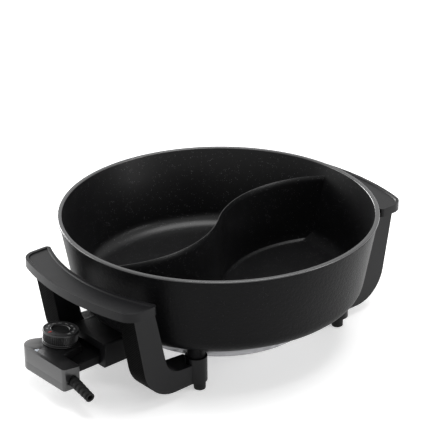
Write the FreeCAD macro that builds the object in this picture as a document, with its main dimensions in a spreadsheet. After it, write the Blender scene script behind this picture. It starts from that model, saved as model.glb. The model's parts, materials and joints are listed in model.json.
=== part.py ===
import FreeCAD, Part
import math
import os
import Sketcher
from FreeCAD import Placement, Rotation, Vector

# Divided electric hot pot with a plug-in thermostat control, in millimetres.
# The counter is z = 0, the control points to -Y and the pan axis is vertical.

# Driving dimensions: name, value, what it is
SIZES = [
    ("rim_radius", 170, "outer radius of the rim bead"),
    ("rim_height", 143, "top of the rim above the counter"),
    ("pan_depth", 92, "rim top down to the flat underside"),
    ("pan_wall", 3.2, "wall of the casting"),
    ("pan_floor", 4, "floor of the casting"),
    ("wall_lean", 17, "how far the wall leans out from the floor to the rim"),
    ("base_corner", 20, "outer rounding between wall and floor"),
    ("inner_corner", 17, "inner rounding between wall and floor"),
    ("bead_height", 3.4, "height of the rim bead"),
    ("bead_chamfer", 0.7, "chamfer on both edges of the rim's top"),
    ("bead_lip", 1.5, "how far the bead stands out from the wall"),
    ("divider_drop", 12, "top of the divider below the rim"),
    ("divider_width", 3, "thickness of the divider at its top"),
    ("divider_draft", 1.2, "draft angle of the divider faces"),
    ("divider_radius", 133, "radius of the two arcs of the S"),
    ("divider_inset", 4, "end of the S inside the rim's edge"),
    ("divider_slip", 4, "sideways place of the end of the S"),
    ("foot_inset_x", 87.4, "foot axis inside the rim's edge, sideways"),
    ("foot_inset_y", 70.7, "foot axis inside the rim's edge, front to back"),
    ("foot_radius", 6.3, "radius of a foot pad"),
    ("foot_socket", 6, "depth of the pad's seat in the collar"),
    ("collar_shift", 2.4, "collar axis beside the foot axis, both ways"),
    ("collar_radius", 10.9, "radius of the handle's foot collar"),
    ("collar_low", 10.5, "underside of the collar"),
    ("boss_height", 12, "height of the foot bosses under the pan"),
    ("boss_radius", 9.6, "radius of the pan boss on the collar"),
    ("screw_radius", 2, "shank radius of the handle screws"),
    ("plate_margin", 5.6, "how far a handle plate reaches past its legs"),
    ("plate_gap", 9.4, "rim's edge to the plate's inner edge, at the middle"),
    ("plate_bow", 19.1, "how far the plate's inner edge comes back at its ends"),
    ("plate_depth", 28.8, "depth of the plate at its middle"),
    ("plate_end_depth", 34.1, "depth of the plate at its ends"),
    ("plate_drop", 22, "top of the plate below the rim"),
    ("plate_thick", 9.5, "thickness of the handle plate"),
    ("dish_depth", 1.2, "depth of the dish in the plate's top"),
    ("leg_inset", 20.7, "collar axis to the inner side of its leg"),
    ("leg_width", 20.5, "width of a handle leg"),
    ("leg_bend", 40, "outer radius of the leg's bend"),
    ("leg_bend_inner", 20, "inner radius of the leg's bend"),
    ("leg_head", 25.7, "depth of a leg's head, beyond the plate's inner end"),
    ("leg_fade", 21, "angle at which a leg's head runs back under the plate"),
    ("leg_fade_depth", 46, "how far down that runs"),
    ("element_inset", 85, "centre line of the heating element inside the rim's edge"),
    ("element_tube", 3.3, "radius of the element's tube"),
    ("element_drop", 6, "centre of the element below the pan's underside"),
    ("rib_width", 16, "width of the rib that holds the element"),
    ("cover_inset", 62, "edge of the base cover inside the rim's edge"),
    ("cover_depth", 26.8, "underside of the base cover below the pan's underside"),
    ("cover_sheet", 1.2, "sheet thickness of the base cover"),
    ("cover_screw_ring", 50, "radius of the base cover's screw circle"),
    ("socket_x", -13, "axis of the socket, sideways"),
    ("guard_inset", 1, "socket guard's front inside the rim's edge"),
    ("guard_half", 29.8, "half width of the socket guard"),
    ("guard_height", 27.5, "height of the socket guard"),
    ("guard_gap", 2.3, "room between the socket guard and the pan's underside"),
    ("guard_wall", 2.6, "wall of the socket guard"),
    ("guard_depth", 56, "front to back length of the socket guard"),
    ("guard_mouth", 21, "half width of the guard's mouth"),
    ("pin_spread", 12, "terminal pins on each side of the socket axis"),
    ("pin_radius", 2.4, "radius of a terminal pin"),
    ("pin_rise", 6.6, "pins and probe above the guard's underside"),
    ("probe_radius", 3.15, "radius of the probe"),
    ("control_drop", 1.2, "underside of the control housing below the guard's"),
    ("control_height", 24.7, "height of the control housing at its front edge"),
    ("control_split", 9, "height of the housing's parting line above its base"),
    ("control_slope", 6, "slope of the housing's top, down towards the pan"),
    ("control_front", 58.5, "guard front to the housing's front"),
    ("control_right", 37.5, "socket axis to the housing's cord end"),
    ("control_left", 46, "socket axis to the housing's round end, if sharp"),
    ("control_arm", 21, "depth of the cord end"),
    ("shell_wall", 2.2, "wall of the housing shells"),
    ("nose_half", 20, "half width of the nose"),
    ("nose_height", 10, "height of the nose"),
    ("nose_reach", 42, "how far the nose reaches into the guard"),
    ("dial_x", -17.7, "dial axis beside the socket axis"),
    ("dial_y", -21.3, "dial axis in front of the guard's front"),
    ("dial_radius", 18.8, "radius of the dial's top"),
    ("dial_height", 15, "height of the dial"),
    ("dial_groove", 1.3, "how far the dial's side lies inside its top"),
    ("relief_radius", 5.6, "radius of the strain relief at the housing"),
    ("relief_length", 31, "length of the strain relief outside the housing"),
    ("cord_bore", 2.9, "radius of the bore for the cord"),
    ("lug_gap", 1, "room between the guard's back and the probe lug"),
    ("lug_depth", 16, "front to back size of the probe lug"),
    ("probe_seat", 13, "how deep the probe goes into the lug"),
    ("gate_half", 26, "half width of the gap in the rib for the element's ends"),
    ("boss_tap", 14, "depth of the screw holes in the foot bosses"),
    ("small_screw", 1.5, "shank radius of the small screws"),
    ("small_tap", 8, "depth of the screw holes in the cover posts"),
    ("guard_screw", 22, "guard screws on each side of the socket axis"),
    ("guard_screw_in", 45, "guard's front to the guard screws"),
    ("guard_tap", 4.5, "depth of the guard's screw holes above the guard"),
    ("plate_corner", 8, "rounding of the plate's outer corners"),
    ("plate_inner_corner", 5, "rounding of the plate's inner corners"),
    ("dish_edge", 4, "rim left round the dish"),
    ("foot_stem", 5, "radius of the foot's stem"),
    ("screw_head", 3, "height of the handle screws' heads"),
    ("screw_head_radius", 4, "radius of the handle screws' heads"),
    ("small_head", 2, "height of the small screws' heads"),
    ("small_head_radius", 2.8, "radius of the small screws' heads"),
    ("cover_rim", 7, "height of the base cover's turned-up rim"),
    ("notch_half", 18, "half width of the cover's notch for the socket"),
    ("guard_floor", 1.5, "thickness of the guard's floor"),
    ("mouth_drop", 8.7, "top of the guard down to the top of its mouth"),
    ("element_end_gap", 0.4, "room between the guard's web and the element's ends"),
    ("element_run", 15, "length of the element's ends after their bend"),
    ("element_bend", 5.5, "centre line radius of the element's bends"),
    ("pin_length", 30, "length of a terminal pin"),
    ("bush_radius", 3.9, "radius of a pin's ceramic bush"),
    ("bush_length", 4, "length of a pin's ceramic bush"),
    ("control_back", 6, "gap between the guard's front and the housing"),
    ("nose_length", 78, "length of the nose"),
    ("sleeve_radius", 3.6, "radius of a pin receptacle"),
    ("sleeve_length", 30, "length of a pin receptacle"),
    ("probe_tip", 70, "guard front to the probe's tip"),
    ("post_radius", 3.8, "radius of the housing's screw posts"),
    ("frame_sheet", 1.2, "sheet thickness of the thermostat frame"),
    ("shaft_radius", 3, "radius of the adjusting shaft"),
    ("shaft_bush_radius", 4.3, "radius of the shaft's bush"),
    ("bush_depth", 6.3, "length of the shaft's bush"),
    ("ring_inner", 10.5, "inner radius of the number ring"),
    ("ring_outer", 17.2, "outer radius of the number ring"),
    ("ring_thick", 0.8, "thickness of the number ring"),
    ("lens_x", -14.7, "pointer beside the socket axis"),
    ("lens_y", -51.8, "pointer in front of the guard's front"),
    ("lens_half", 2.6, "half size of the pointer"),
    ("lamp_x", -14.7, "lamp beside the socket axis"),
    ("lamp_y", -50, "lamp in front of the guard's front"),
    ("lamp_radius", 2.6, "radius of the neon lamp"),
    ("lamp_low", 7, "foot of the lamp above the housing's base"),
    ("lamp_high", 19.5, "top of the lamp above the housing's base"),
    ("relief_y", -47, "strain relief in front of the guard's front"),
    ("relief_groove", 1.5, "depth of the grooves between its rings"),
    ("relief_neck", 4.3, "radius of the strain relief in the housing's wall"),
    ("fit", 0.15, "clearance round parts that slide or plug together"),
    ("gap", 0.3, "clearance between parts of different pieces that only meet"),
]

# Worked out in the sheet from the driving dimensions
DERIVED = [
    ("underside", "rim_height - pan_depth"),
    ("floor_top", "underside + pan_floor"),
    ("base_edge", "rim_radius - wall_lean"),
    ("inner_edge", "base_edge - pan_wall"),
    ("divider_top", "rim_height - divider_drop"),
    ("divider_end", "rim_radius - divider_inset"),
    ("foot_x", "rim_radius - foot_inset_x"),
    ("foot_y", "rim_radius - foot_inset_y"),
    ("collar_x", "foot_x - collar_shift"),
    ("collar_y", "foot_y + collar_shift"),
    ("collar_top", "underside - boss_height"),
    ("leg_inner", "collar_x - leg_inset"),
    ("plate_half", "leg_inner + leg_width + plate_margin"),
    ("plate_inner", "rim_radius + plate_gap"),
    ("plate_inner_end", "plate_inner - plate_bow"),
    ("plate_outer", "plate_inner + plate_depth"),
    ("plate_outer_end", "plate_inner_end + plate_end_depth"),
    ("plate_top", "rim_height - plate_drop"),
    ("element_radius", "rim_radius - element_inset"),
    ("element_height", "underside - element_drop"),
    ("cover_radius", "rim_radius - cover_inset"),
    ("cover_low", "underside - cover_depth"),
    ("guard_front", "rim_radius - guard_inset"),
    ("guard_high", "underside - guard_gap"),
    ("guard_low", "guard_high - guard_height"),
    ("guard_screw_y", "guard_front - guard_screw_in"),
    ("pin_height", "guard_low + pin_rise"),
    ("lug_front", "guard_front - guard_depth - lug_gap"),
    ("control_low", "guard_low - control_drop"),
    ("control_reach", "guard_front + control_front"),
    ("axis_y", "(control_reach - plate_outer) / 2"),
    ("control_y", "axis_y - guard_front"),
    ("pin_level", "pin_rise + control_drop"),
    ("nose_low", "pin_level - nose_height / 2"),
    ("nose_high", "pin_level + nose_height / 2"),
    ("dial_seat", "control_height - (control_front + dial_y) * tan(control_slope)"),
    ("web_back", "guard_front - guard_depth + guard_wall"),
    ("element_end", "web_back + element_end_gap"),
]

SIZE_NAMES = [row[0] for row in SIZES + DERIVED]
COVER_SCREW_TURNS = (30, 150, 270)
SHELL_SCREWS = (("19.5", "-51"), ("-31", "-45"), ("-24.7", "-14.5"))
RELIEF_RINGS = 5
DIAL_RIBS = 40


def cover_screw_spot(turn):
    """Expressions for the place of one of the base cover's screws."""
    return "cover_screw_ring * cos(%d)" % turn, "cover_screw_ring * sin(%d)" % turn


def fill_sheet(doc):
    """The sheet holds every driving and derived size under its own alias."""
    sheet = doc.addObject("Spreadsheet::Sheet", "Sizes")
    for row, (alias, value, note) in enumerate(SIZES, 1):
        sheet.set("A%d" % row, note)
        sheet.set("B%d" % row, str(value))
        sheet.setAlias("B%d" % row, alias)
    for row, (alias, formula) in enumerate(DERIVED, len(SIZES) + 1):
        sheet.set("B%d" % row, "=" + formula)
        sheet.setAlias("B%d" % row, alias)
    doc.addObject("Spreadsheet::Sheet", "Work")
    doc.recompute()


def qualified(text):
    """The expression with the sheet's name before each of its sizes."""
    out = ""
    word = ""
    for letter in str(text) + " ":
        if letter.isalnum() or letter in "_.":
            word += letter
            continue
        out += ("Sizes." + word if word in SIZE_NAMES else word) + letter
        word = ""
    return out.strip()


def value(text):
    """The number that an expression on the sizes comes to."""
    work = FreeCAD.ActiveDocument.Work
    work.set("A1", "=1.0 * (" + qualified(text) + ")")
    work.recompute()
    return float(work.get("A1"))


def bind(thing, path, text):
    """Bind a property or a sketch constraint to an expression on the sizes."""
    thing.setExpression(path, qualified(text))


def new_body(label, x="0", y="axis_y", z="0"):
    """A body placed in the part's frame by expressions."""
    body = FreeCAD.ActiveDocument.addObject("PartDesign::Body", label)
    body.Label = label
    if hasattr(body, "AllowCompound"):
        body.AllowCompound = True
    bind(body, "Placement.Base.x", x)
    bind(body, "Placement.Base.y", y)
    bind(body, "Placement.Base.z", z)
    return body


def control_body(label):
    """A body in the control's frame: socket axis, guard front, housing base."""
    return new_body(label, "socket_x", "control_y", "control_low")


def new_sketch(body, plane, across="0", along="0", lift="0", turn=0):
    """A sketch on one of the body's own origin planes, moved by expressions."""
    sketch = body.newObject("Sketcher::SketchObject", "Outline")
    planes = [f for f in body.Origin.OriginFeatures if f.Role == plane + "_Plane"]
    sketch.AttachmentSupport = [(planes[0], "")]
    sketch.MapMode = "FlatFace"
    sketch.AttachmentOffset = Placement(Vector(0, 0, 0), Rotation(Vector(0, 0, 1), turn))
    bind(sketch, "AttachmentOffset.Base.x", across)
    bind(sketch, "AttachmentOffset.Base.y", along)
    bind(sketch, "AttachmentOffset.Base.z", lift)
    return sketch


def fix_point(sketch, geometry, position, x, y):
    """Hold one point of a sketch at expressions for x and y."""
    for kind, text in (("DistanceX", x), ("DistanceY", y)):
        number = sketch.addConstraint(
            Sketcher.Constraint(kind, -1, 1, geometry, position, value(text)))
        bind(sketch, "Constraints[%d]" % number, text)


def add_arc(sketch, start, end, centre):
    """The short arc from start to end; returns it with its first and last position."""
    spin_left = (start - centre).cross(end - centre).z > 0
    low, high = (start, end) if spin_left else (end, start)
    circle = Part.Circle(centre, Vector(0, 0, 1), (start - centre).Length)
    angles = [math.atan2(p.y - centre.y, p.x - centre.x) for p in (low, high)]
    arc = sketch.addGeometry(Part.ArcOfCircle(circle, angles[0], angles[1]), False)
    return (arc, 1, 2) if spin_left else (arc, 2, 1)


def draw(sketch, corners):
    """A closed outline of straight sides: each corner is x, y and a rounding or 0."""
    spots = [Vector(value(c[0]), value(c[1]), 0) for c in corners]
    radii = [value(c[2]) for c in corners]
    count = len(corners)
    trims = []
    for i, spot in enumerate(spots):
        before = (spots[i - 1] - spot).normalize()
        after = (spots[(i + 1) % count] - spot).normalize()
        half = before.getAngle(after) / 2
        reach = radii[i] / math.tan(half) if radii[i] else 0
        trims.append((spot + before * reach, spot + after * reach, before, after, half))
    lines = []
    for i in range(count):
        start = trims[i][1]
        end = trims[(i + 1) % count][0]
        lines.append(sketch.addGeometry(Part.LineSegment(start, end), False))
    for i, (into, out, before, after, half) in enumerate(trims):
        last, here = lines[i - 1], lines[i]
        if not radii[i]:
            sketch.addConstraint(Sketcher.Constraint("Coincident", last, 2, here, 1))
            fix_point(sketch, here, 1, corners[i][0], corners[i][1])
            continue
        middle = (before + after).normalize() * (radii[i] / math.sin(half)) + spots[i]
        arc, first, second = add_arc(sketch, into, out, middle)
        sketch.addConstraint(Sketcher.Constraint("Tangent", last, 2, arc, first))
        sketch.addConstraint(Sketcher.Constraint("Tangent", here, 1, arc, second))
        number = sketch.addConstraint(Sketcher.Constraint("Radius", arc, radii[i]))
        bind(sketch, "Constraints[%d]" % number, corners[i][2])
        point = sketch.addGeometry(Part.Point(spots[i]), True)
        fix_point(sketch, point, 1, corners[i][0], corners[i][1])
        sketch.addConstraint(Sketcher.Constraint("PointOnObject", point, 1, last))
        sketch.addConstraint(Sketcher.Constraint("PointOnObject", point, 1, here))
    return sketch


def draw_box(sketch, x_low, y_low, x_high, y_high, rounding="0"):
    """A rectangle between two corners."""
    spots = ((x_low, y_low), (x_high, y_low), (x_high, y_high), (x_low, y_high))
    return draw(sketch, [(x, y, rounding) for x, y in spots])


def draw_circle(sketch, x, y, radius):
    """A circle at expressions for its centre and radius."""
    middle = Vector(value(x), value(y), 0)
    circle = sketch.addGeometry(Part.Circle(middle, Vector(0, 0, 1), value(radius)), False)
    fix_point(sketch, circle, 3, x, y)
    number = sketch.addConstraint(Sketcher.Constraint("Radius", circle, value(radius)))
    bind(sketch, "Constraints[%d]" % number, radius)
    return sketch


def draw_chain(sketch, spots):
    """A closed loop through spots; a spot (x, y, radius, side) is reached by an arc."""
    count = len(spots)
    points = [Vector(value(s[0]), value(s[1]), 0) for s in spots]
    sides = []
    for i, spot in enumerate(spots):
        start, end = points[i - 1], points[i]
        if len(spot) == 2:
            sides.append((sketch.addGeometry(Part.LineSegment(start, end), False), 1, 2))
            continue
        radius = value(spot[2])
        half = (end - start) * 0.5
        across = Vector(-half.y, half.x, 0).normalize() * spot[3]
        centre = start + half - across * math.sqrt(radius ** 2 - half.Length ** 2)
        arc, first, last = add_arc(sketch, start, end, centre)
        sides.append((arc, first, last))
        number = sketch.addConstraint(Sketcher.Constraint("Radius", arc, radius))
        bind(sketch, "Constraints[%d]" % number, spot[2])
    for i in range(count):
        here, after = sides[i], sides[(i + 1) % count]
        sketch.addConstraint(
            Sketcher.Constraint("Coincident", here[0], here[2], after[0], after[1]))
        fix_point(sketch, here[0], here[2], spots[i][0], spots[i][1])
    return sketch


def feature(body, kind, sketch, **settings):
    """Add a sketch-based feature; a text setting is an expression."""
    made = body.newObject("PartDesign::" + kind, kind)
    made.Profile = sketch
    for name, setting in settings.items():
        if isinstance(setting, str) and name in ("Length", "Length2", "Angle", "TaperAngle"):
            bind(made, name, setting)
        else:
            setattr(made, name, setting)
    sketch.Visibility = False
    FreeCAD.ActiveDocument.recompute()
    return made


def pad(body, sketch, length, down=False, both=False, taper=None):
    """A pad of the sketch, or half to each side of it."""
    made = feature(body, "Pad", sketch, Length=length, Reversed=down, Midplane=both)
    if taper:
        bind(made, "TaperAngle", taper)
        FreeCAD.ActiveDocument.recompute()
    return made


def cut(body, sketch, length=None, down=False, both=False):
    """A pocket, checked to take something away."""
    before = body.Shape.Volume
    made = feature(body, "Pocket", sketch, Reversed=down, Midplane=both)
    if length is None:
        made.Type = "ThroughAll"
    else:
        bind(made, "Length", length)
    FreeCAD.ActiveDocument.recompute()
    if body.Shape.Volume > before - 1e-6:
        raise RuntimeError(body.Label + ": a pocket cuts nothing")
    return made


def spin(body, sketch, kind="Revolution", axis="V_Axis"):
    """A full turn of the sketch about one of its own axes."""
    before = body.Shape.Volume if kind == "Groove" else None
    made = feature(body, kind, sketch, Angle="360", ReferenceAxis=(sketch, [axis]))
    if before is not None and body.Shape.Volume > before - 1e-6:
        raise RuntimeError(body.Label + ": a groove cuts nothing")
    return made


def dress(body, kind, size, picker):
    """Fillet or chamfer the edges of the body's tip that the picker accepts."""
    base = body.Tip
    names = ["Edge%d" % i for i, edge in enumerate(base.Shape.Edges, 1) if picker(edge)]
    if not names:
        raise RuntimeError(body.Label + ": no edge to dress")
    made = body.newObject("PartDesign::" + kind, kind)
    made.Base = (base, names)
    bind(made, "Radius" if kind == "Fillet" else "Size", size)
    body.Tip = made
    FreeCAD.ActiveDocument.recompute()
    return made


def pan_divider(pan):
    """The S-shaped wall between the two halves: two sweeping arcs, cut to the wall."""
    sketch = new_sketch(pan, "XY", lift="divider_top")
    near, far = "-divider_end", "divider_end"
    left, right = "-divider_width / 2", "divider_width / 2"
    draw_chain(sketch, [
        (right, "0", "divider_radius", -1),
        ("divider_slip + " + right, near, "divider_radius", 1),
        ("divider_slip " + left, near),
        (left, "0", "divider_radius", -1),
        ("-divider_slip " + left, far, "divider_radius", 1),
        ("-divider_slip + " + right, far)])
    pad(pan, sketch, "divider_top - floor_top + 1", down=True, taper="divider_draft")
    beyond = new_sketch(pan, "XZ")
    draw(beyond, [
        ("base_edge / 2", "underside + pan_floor / 2", "0"),
        ("base_edge - pan_wall / 2", "underside + pan_floor / 2", "base_corner - pan_wall / 2"),
        ("rim_radius - bead_lip - pan_wall / 2", "rim_height", "0"),
        ("rim_radius * 2", "rim_height", "0"),
        ("rim_radius * 2", "underside - 1", "0"),
        ("base_edge / 2", "underside - 1", "0")])
    spin(pan, beyond, "Groove")


def pan_shell(pan):
    """Wall, floor, rounded base corner and rim bead, turned about the pan axis."""
    sketch = new_sketch(pan, "XZ")
    draw(sketch, [
        ("0", "underside", "0"),
        ("base_edge", "underside", "base_corner"),
        ("rim_radius - bead_lip", "rim_height - bead_height", "0"),
        ("rim_radius", "rim_height - bead_height + 0.6", "0"),
        ("rim_radius", "rim_height - bead_chamfer", "0"),
        ("rim_radius - bead_chamfer", "rim_height", "0"),
        ("rim_radius - bead_lip - pan_wall + bead_chamfer", "rim_height", "0"),
        ("rim_radius - bead_lip - pan_wall", "rim_height - bead_chamfer", "0"),
        ("inner_edge", "floor_top", "inner_corner"),
        ("0", "floor_top", "0")])
    spin(pan, sketch)


def pan_underside(pan):
    """What is cast under the floor: foot bosses, element rib, cover posts, probe lug."""
    bosses = new_sketch(pan, "XY", lift="underside + 1")
    for side in ("", "-"):
        for end in ("", "-"):
            draw_circle(bosses, side + "collar_x", end + "collar_y", "boss_radius")
    pad(pan, bosses, "underside + 1 - collar_top", down=True)
    rib = new_sketch(pan, "XZ")
    draw(rib, [
        ("element_radius - rib_width / 2", "underside + 1", "0"),
        ("element_radius - rib_width / 2", "element_height", "0"),
        ("element_radius + rib_width / 2", "element_height", "0"),
        ("element_radius + rib_width / 2", "underside + 1", "0")])
    spin(pan, rib)
    posts = new_sketch(pan, "XY", lift="underside + 1")
    for turn in COVER_SCREW_TURNS:
        draw_circle(posts, *cover_screw_spot(turn), "4.5")
    pad(pan, posts, "underside + 1 - cover_low - cover_sheet", down=True)
    lug = new_sketch(pan, "XY", lift="underside + 1")
    draw_box(lug, "socket_x - 6", "-lug_front", "socket_x + 6", "-lug_front + lug_depth", "1")
    pad(pan, lug, "underside + 1 - pin_height + 5.6", down=True)
    ears = new_sketch(pan, "XY", lift="underside + 1")
    for side in ("-", "+"):
        draw_circle(ears, "socket_x %s guard_screw" % side, "-guard_screw_y", "5")
    pad(pan, ears, "underside + 1 - guard_high - gap", down=True)


def pan_holes(pan):
    """Groove for the element, probe bore and the blind screw holes."""
    groove = new_sketch(pan, "XZ")
    draw_circle(groove, "element_radius", "element_height", "element_tube + gap")
    spin(pan, groove, "Groove")
    gate = new_sketch(pan, "XY", lift="underside - 0.01")
    draw_box(gate, "socket_x - gate_half", "-element_radius - rib_width",
             "socket_x + gate_half", "-element_radius + rib_width")
    cut(pan, gate, "element_drop + 1")
    bore = new_sketch(pan, "XZ", lift="lug_front")
    draw_circle(bore, "socket_x", "pin_height", "probe_radius + fit")
    cut(pan, bore, "probe_seat")
    taps = new_sketch(pan, "XY", lift="collar_top - 0.01")
    for side in ("", "-"):
        for end in ("", "-"):
            draw_circle(taps, side + "foot_x", end + "foot_y", "screw_radius + 0.02")
    cut(pan, taps, "boss_tap", down=True)
    taps = new_sketch(pan, "XY", lift="cover_low + cover_sheet - 0.01")
    for turn in COVER_SCREW_TURNS:
        draw_circle(taps, *cover_screw_spot(turn), "small_screw + 0.02")
    cut(pan, taps, "small_tap", down=True)
    taps = new_sketch(pan, "XY", lift="guard_high")
    for side in ("-", "+"):
        draw_circle(taps, "socket_x %s guard_screw" % side, "-guard_screw_y", "small_screw + 0.02")
    cut(pan, taps, "guard_tap", down=True)


def make_pan_body():
    """The die-cast pan with its S-shaped divider."""
    pan = new_body("pan_body")
    pan_divider(pan)
    pan_shell(pan)
    pan_underside(pan)
    pan_holes(pan)


def side_y(sign, text):
    """A front-to-back place on the rear side, or the same on the front side."""
    return sign + "(" + text + ")"


def bow_radius(middle, end, half):
    """The radius of an arc through a middle point and two ends."""
    sag = "(%s - %s)" % (middle, end)
    return "(%s ^ 2 + %s ^ 2) / (2 * %s)" % (half, sag, sag)


def plate_outline(sketch, sign, edge):
    """A handle plate seen from above, drawn in from its edges by one distance."""
    turn = 1 if sign == "-" else -1
    half = "(plate_half - %s)" % edge
    inner, inner_end = "(plate_inner + %s)" % edge, "(plate_inner_end + %s)" % edge
    outer, outer_end = "(plate_outer - %s)" % edge, "(plate_outer_end - %s)" % edge
    draw_chain(sketch, [
        (half, side_y(sign, inner_end), bow_radius(inner, inner_end, half), -turn),
        (half, side_y(sign, outer_end)),
        ("-" + half, side_y(sign, outer_end), bow_radius(outer, outer_end, half), turn),
        ("-" + half, side_y(sign, inner_end))])


def fade_legs(body, sign):
    """Run the heads of the legs back to the plate's inner edge."""
    turn = 1 if sign == "-" else -1
    bow = bow_radius("plate_inner", "plate_inner_end", "plate_half")
    wide = "(plate_half + 30)"
    end = "plate_inner - %s + sqrt((%s) ^ 2 - %s ^ 2)" % (bow, bow, wide)
    region = new_sketch(body, "XY", lift="plate_top - plate_thick / 2")
    draw_chain(region, [
        (wide, side_y(sign, end), bow, -turn),
        (wide, side_y(sign, "collar_y - 40")),
        ("-" + wide, side_y(sign, "collar_y - 40")),
        ("-" + wide, side_y(sign, end))])
    fade = cut(body, region, "leg_fade_depth")
    bind(fade, "TaperAngle", "-leg_fade")
    FreeCAD.ActiveDocument.recompute()


def make_handle(label, sign):
    """One moulding: the plate, its two J-shaped legs and their foot collars."""
    body = new_body(label)
    plate = new_sketch(body, "XY", lift="plate_top")
    plate_outline(plate, sign, "0")
    pad(body, plate, "plate_thick", down=True)
    for edge_y, rounding in (("plate_outer_end", "plate_corner"),
                             ("plate_inner_end", "plate_inner_corner")):
        far = value(side_y(sign, edge_y))
        dress(body, "Fillet", rounding, lambda edge: edge.BoundBox.ZLength > 5
              and edge.BoundBox.XLength < 1e-6 and abs(edge.BoundBox.YMax - far) < 0.01)
    dish = new_sketch(body, "XY", lift="plate_top")
    plate_outline(dish, sign, "dish_edge")
    cut(body, dish, "dish_depth")
    for start in ("leg_inner", "-leg_inner - leg_width"):
        leg = new_sketch(body, "YZ", lift=start)
        draw(leg, [
            (side_y(sign, "plate_inner_end + leg_head"), "plate_top - plate_thick / 2", "0"),
            (side_y(sign, "plate_inner_end + 6.9"), "collar_low", "leg_bend"),
            (side_y(sign, "collar_y"), "collar_low", "0"),
            (side_y(sign, "collar_y"), "collar_low + 20.5", "0"),
            (side_y(sign, "plate_inner_end - 17.9"), "collar_low + 23.6", "leg_bend_inner"),
            (side_y(sign, "plate_inner_end + 0.2"), "plate_top - plate_thick / 2", "0")])
        pad(body, leg, "leg_width")
    fade_legs(body, sign)
    collars = new_sketch(body, "XY", lift="collar_low")
    for side in ("", "-"):
        draw_circle(collars, side + "collar_x", side_y(sign, "collar_y"), "collar_radius")
    pad(body, collars, "collar_top - collar_low")
    for low, depth, radius in (
            ("collar_low", "foot_socket", "foot_stem + fit"),
            ("collar_low + foot_socket - 0.01", "screw_head + 0.8", "screw_head_radius + fit"),
            ("collar_low", "collar_top", "screw_radius + fit")):
        holes = new_sketch(body, "XY", lift=low)
        for side in ("", "-"):
            draw_circle(holes, side + "foot_x", side_y(sign, "foot_y"), radius)
        cut(body, holes, depth, down=True)


def make_foot(label, side, sign):
    """A soft foot pad, pressed into a collar by its stem."""
    body = new_body(label, side + "foot_x", "axis_y " + ("- " if sign == "-" else "+ ") + "foot_y")
    sketch = new_sketch(body, "XZ")
    draw(sketch, [
        ("0", "0", "0"),
        ("foot_radius - 0.8", "0", "0"),
        ("foot_radius", "0.8", "0"),
        ("foot_radius", "collar_low", "0"),
        ("foot_stem", "collar_low", "0"),
        ("foot_stem", "collar_low + foot_socket", "0"),
        ("0", "collar_low + foot_socket", "0")])
    spin(body, sketch)


def add_screw(body, x, y, head_low, head_radius, head_height, shank_radius, shank_top):
    """A pan-head screw that points up."""
    head = new_sketch(body, "XY", lift=head_low)
    draw_circle(head, x, y, head_radius)
    pad(body, head, head_height)
    slot = new_sketch(body, "XY", lift=head_low)
    draw_box(slot, "%s - %s" % (x, head_radius), "%s - 0.3" % y,
             "%s + %s" % (x, head_radius), "%s + 0.3" % y)
    cut(body, slot, "0.8", down=True)
    shank = new_sketch(body, "XY", lift="%s + %s - 0.1" % (head_low, head_height))
    draw_circle(shank, x, y, shank_radius)
    pad(body, shank, "(%s) - (%s) - %s + 0.1" % (shank_top, head_low, head_height))


def make_handle_screws():
    """The four screws that hold handles and feet to the pan."""
    body = new_body("handle_screws")
    for side in ("", "-"):
        for sign in ("", "-"):
            add_screw(body, side + "foot_x", sign + "foot_y",
                      "collar_low + foot_socket + 0.5", "screw_head_radius", "screw_head",
                      "screw_radius", "collar_top + boss_tap - 2")


def make_base_cover():
    """The sheet-metal cover under the element, with a turned-up rim and a notch."""
    body = new_body("base_cover")
    sketch = new_sketch(body, "XZ")
    draw(sketch, [
        ("0", "cover_low", "0"),
        ("cover_radius - 2", "cover_low", "0"),
        ("cover_radius", "cover_low + 2", "0"),
        ("cover_radius", "cover_low + cover_rim", "0"),
        ("cover_radius - cover_sheet", "cover_low + cover_rim", "0"),
        ("cover_radius - cover_sheet", "cover_low + cover_sheet + 1.3", "0"),
        ("cover_radius - cover_sheet - 1.3", "cover_low + cover_sheet", "0"),
        ("0", "cover_low + cover_sheet", "0")])
    spin(body, sketch)
    notch = new_sketch(body, "XY", lift="cover_low - 1")
    draw_box(notch, "socket_x - notch_half", "-cover_radius - 5",
             "socket_x + notch_half", "-lug_front + lug_depth + 2", "2")
    cut(body, notch, "cover_rim + 2", down=True)
    holes = new_sketch(body, "XY", lift="cover_low - 1")
    for turn in COVER_SCREW_TURNS:
        draw_circle(holes, *cover_screw_spot(turn), "small_screw + fit")
    cut(body, holes, "cover_sheet + 2", down=True)


def make_base_cover_screws():
    """The three screws of the base cover."""
    body = new_body("base_cover_screws")
    for turn in COVER_SCREW_TURNS:
        add_screw(body, *cover_screw_spot(turn), "cover_low - small_head", "small_head_radius",
                  "small_head", "small_screw", "cover_low + cover_sheet + small_tap - 1")


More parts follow.
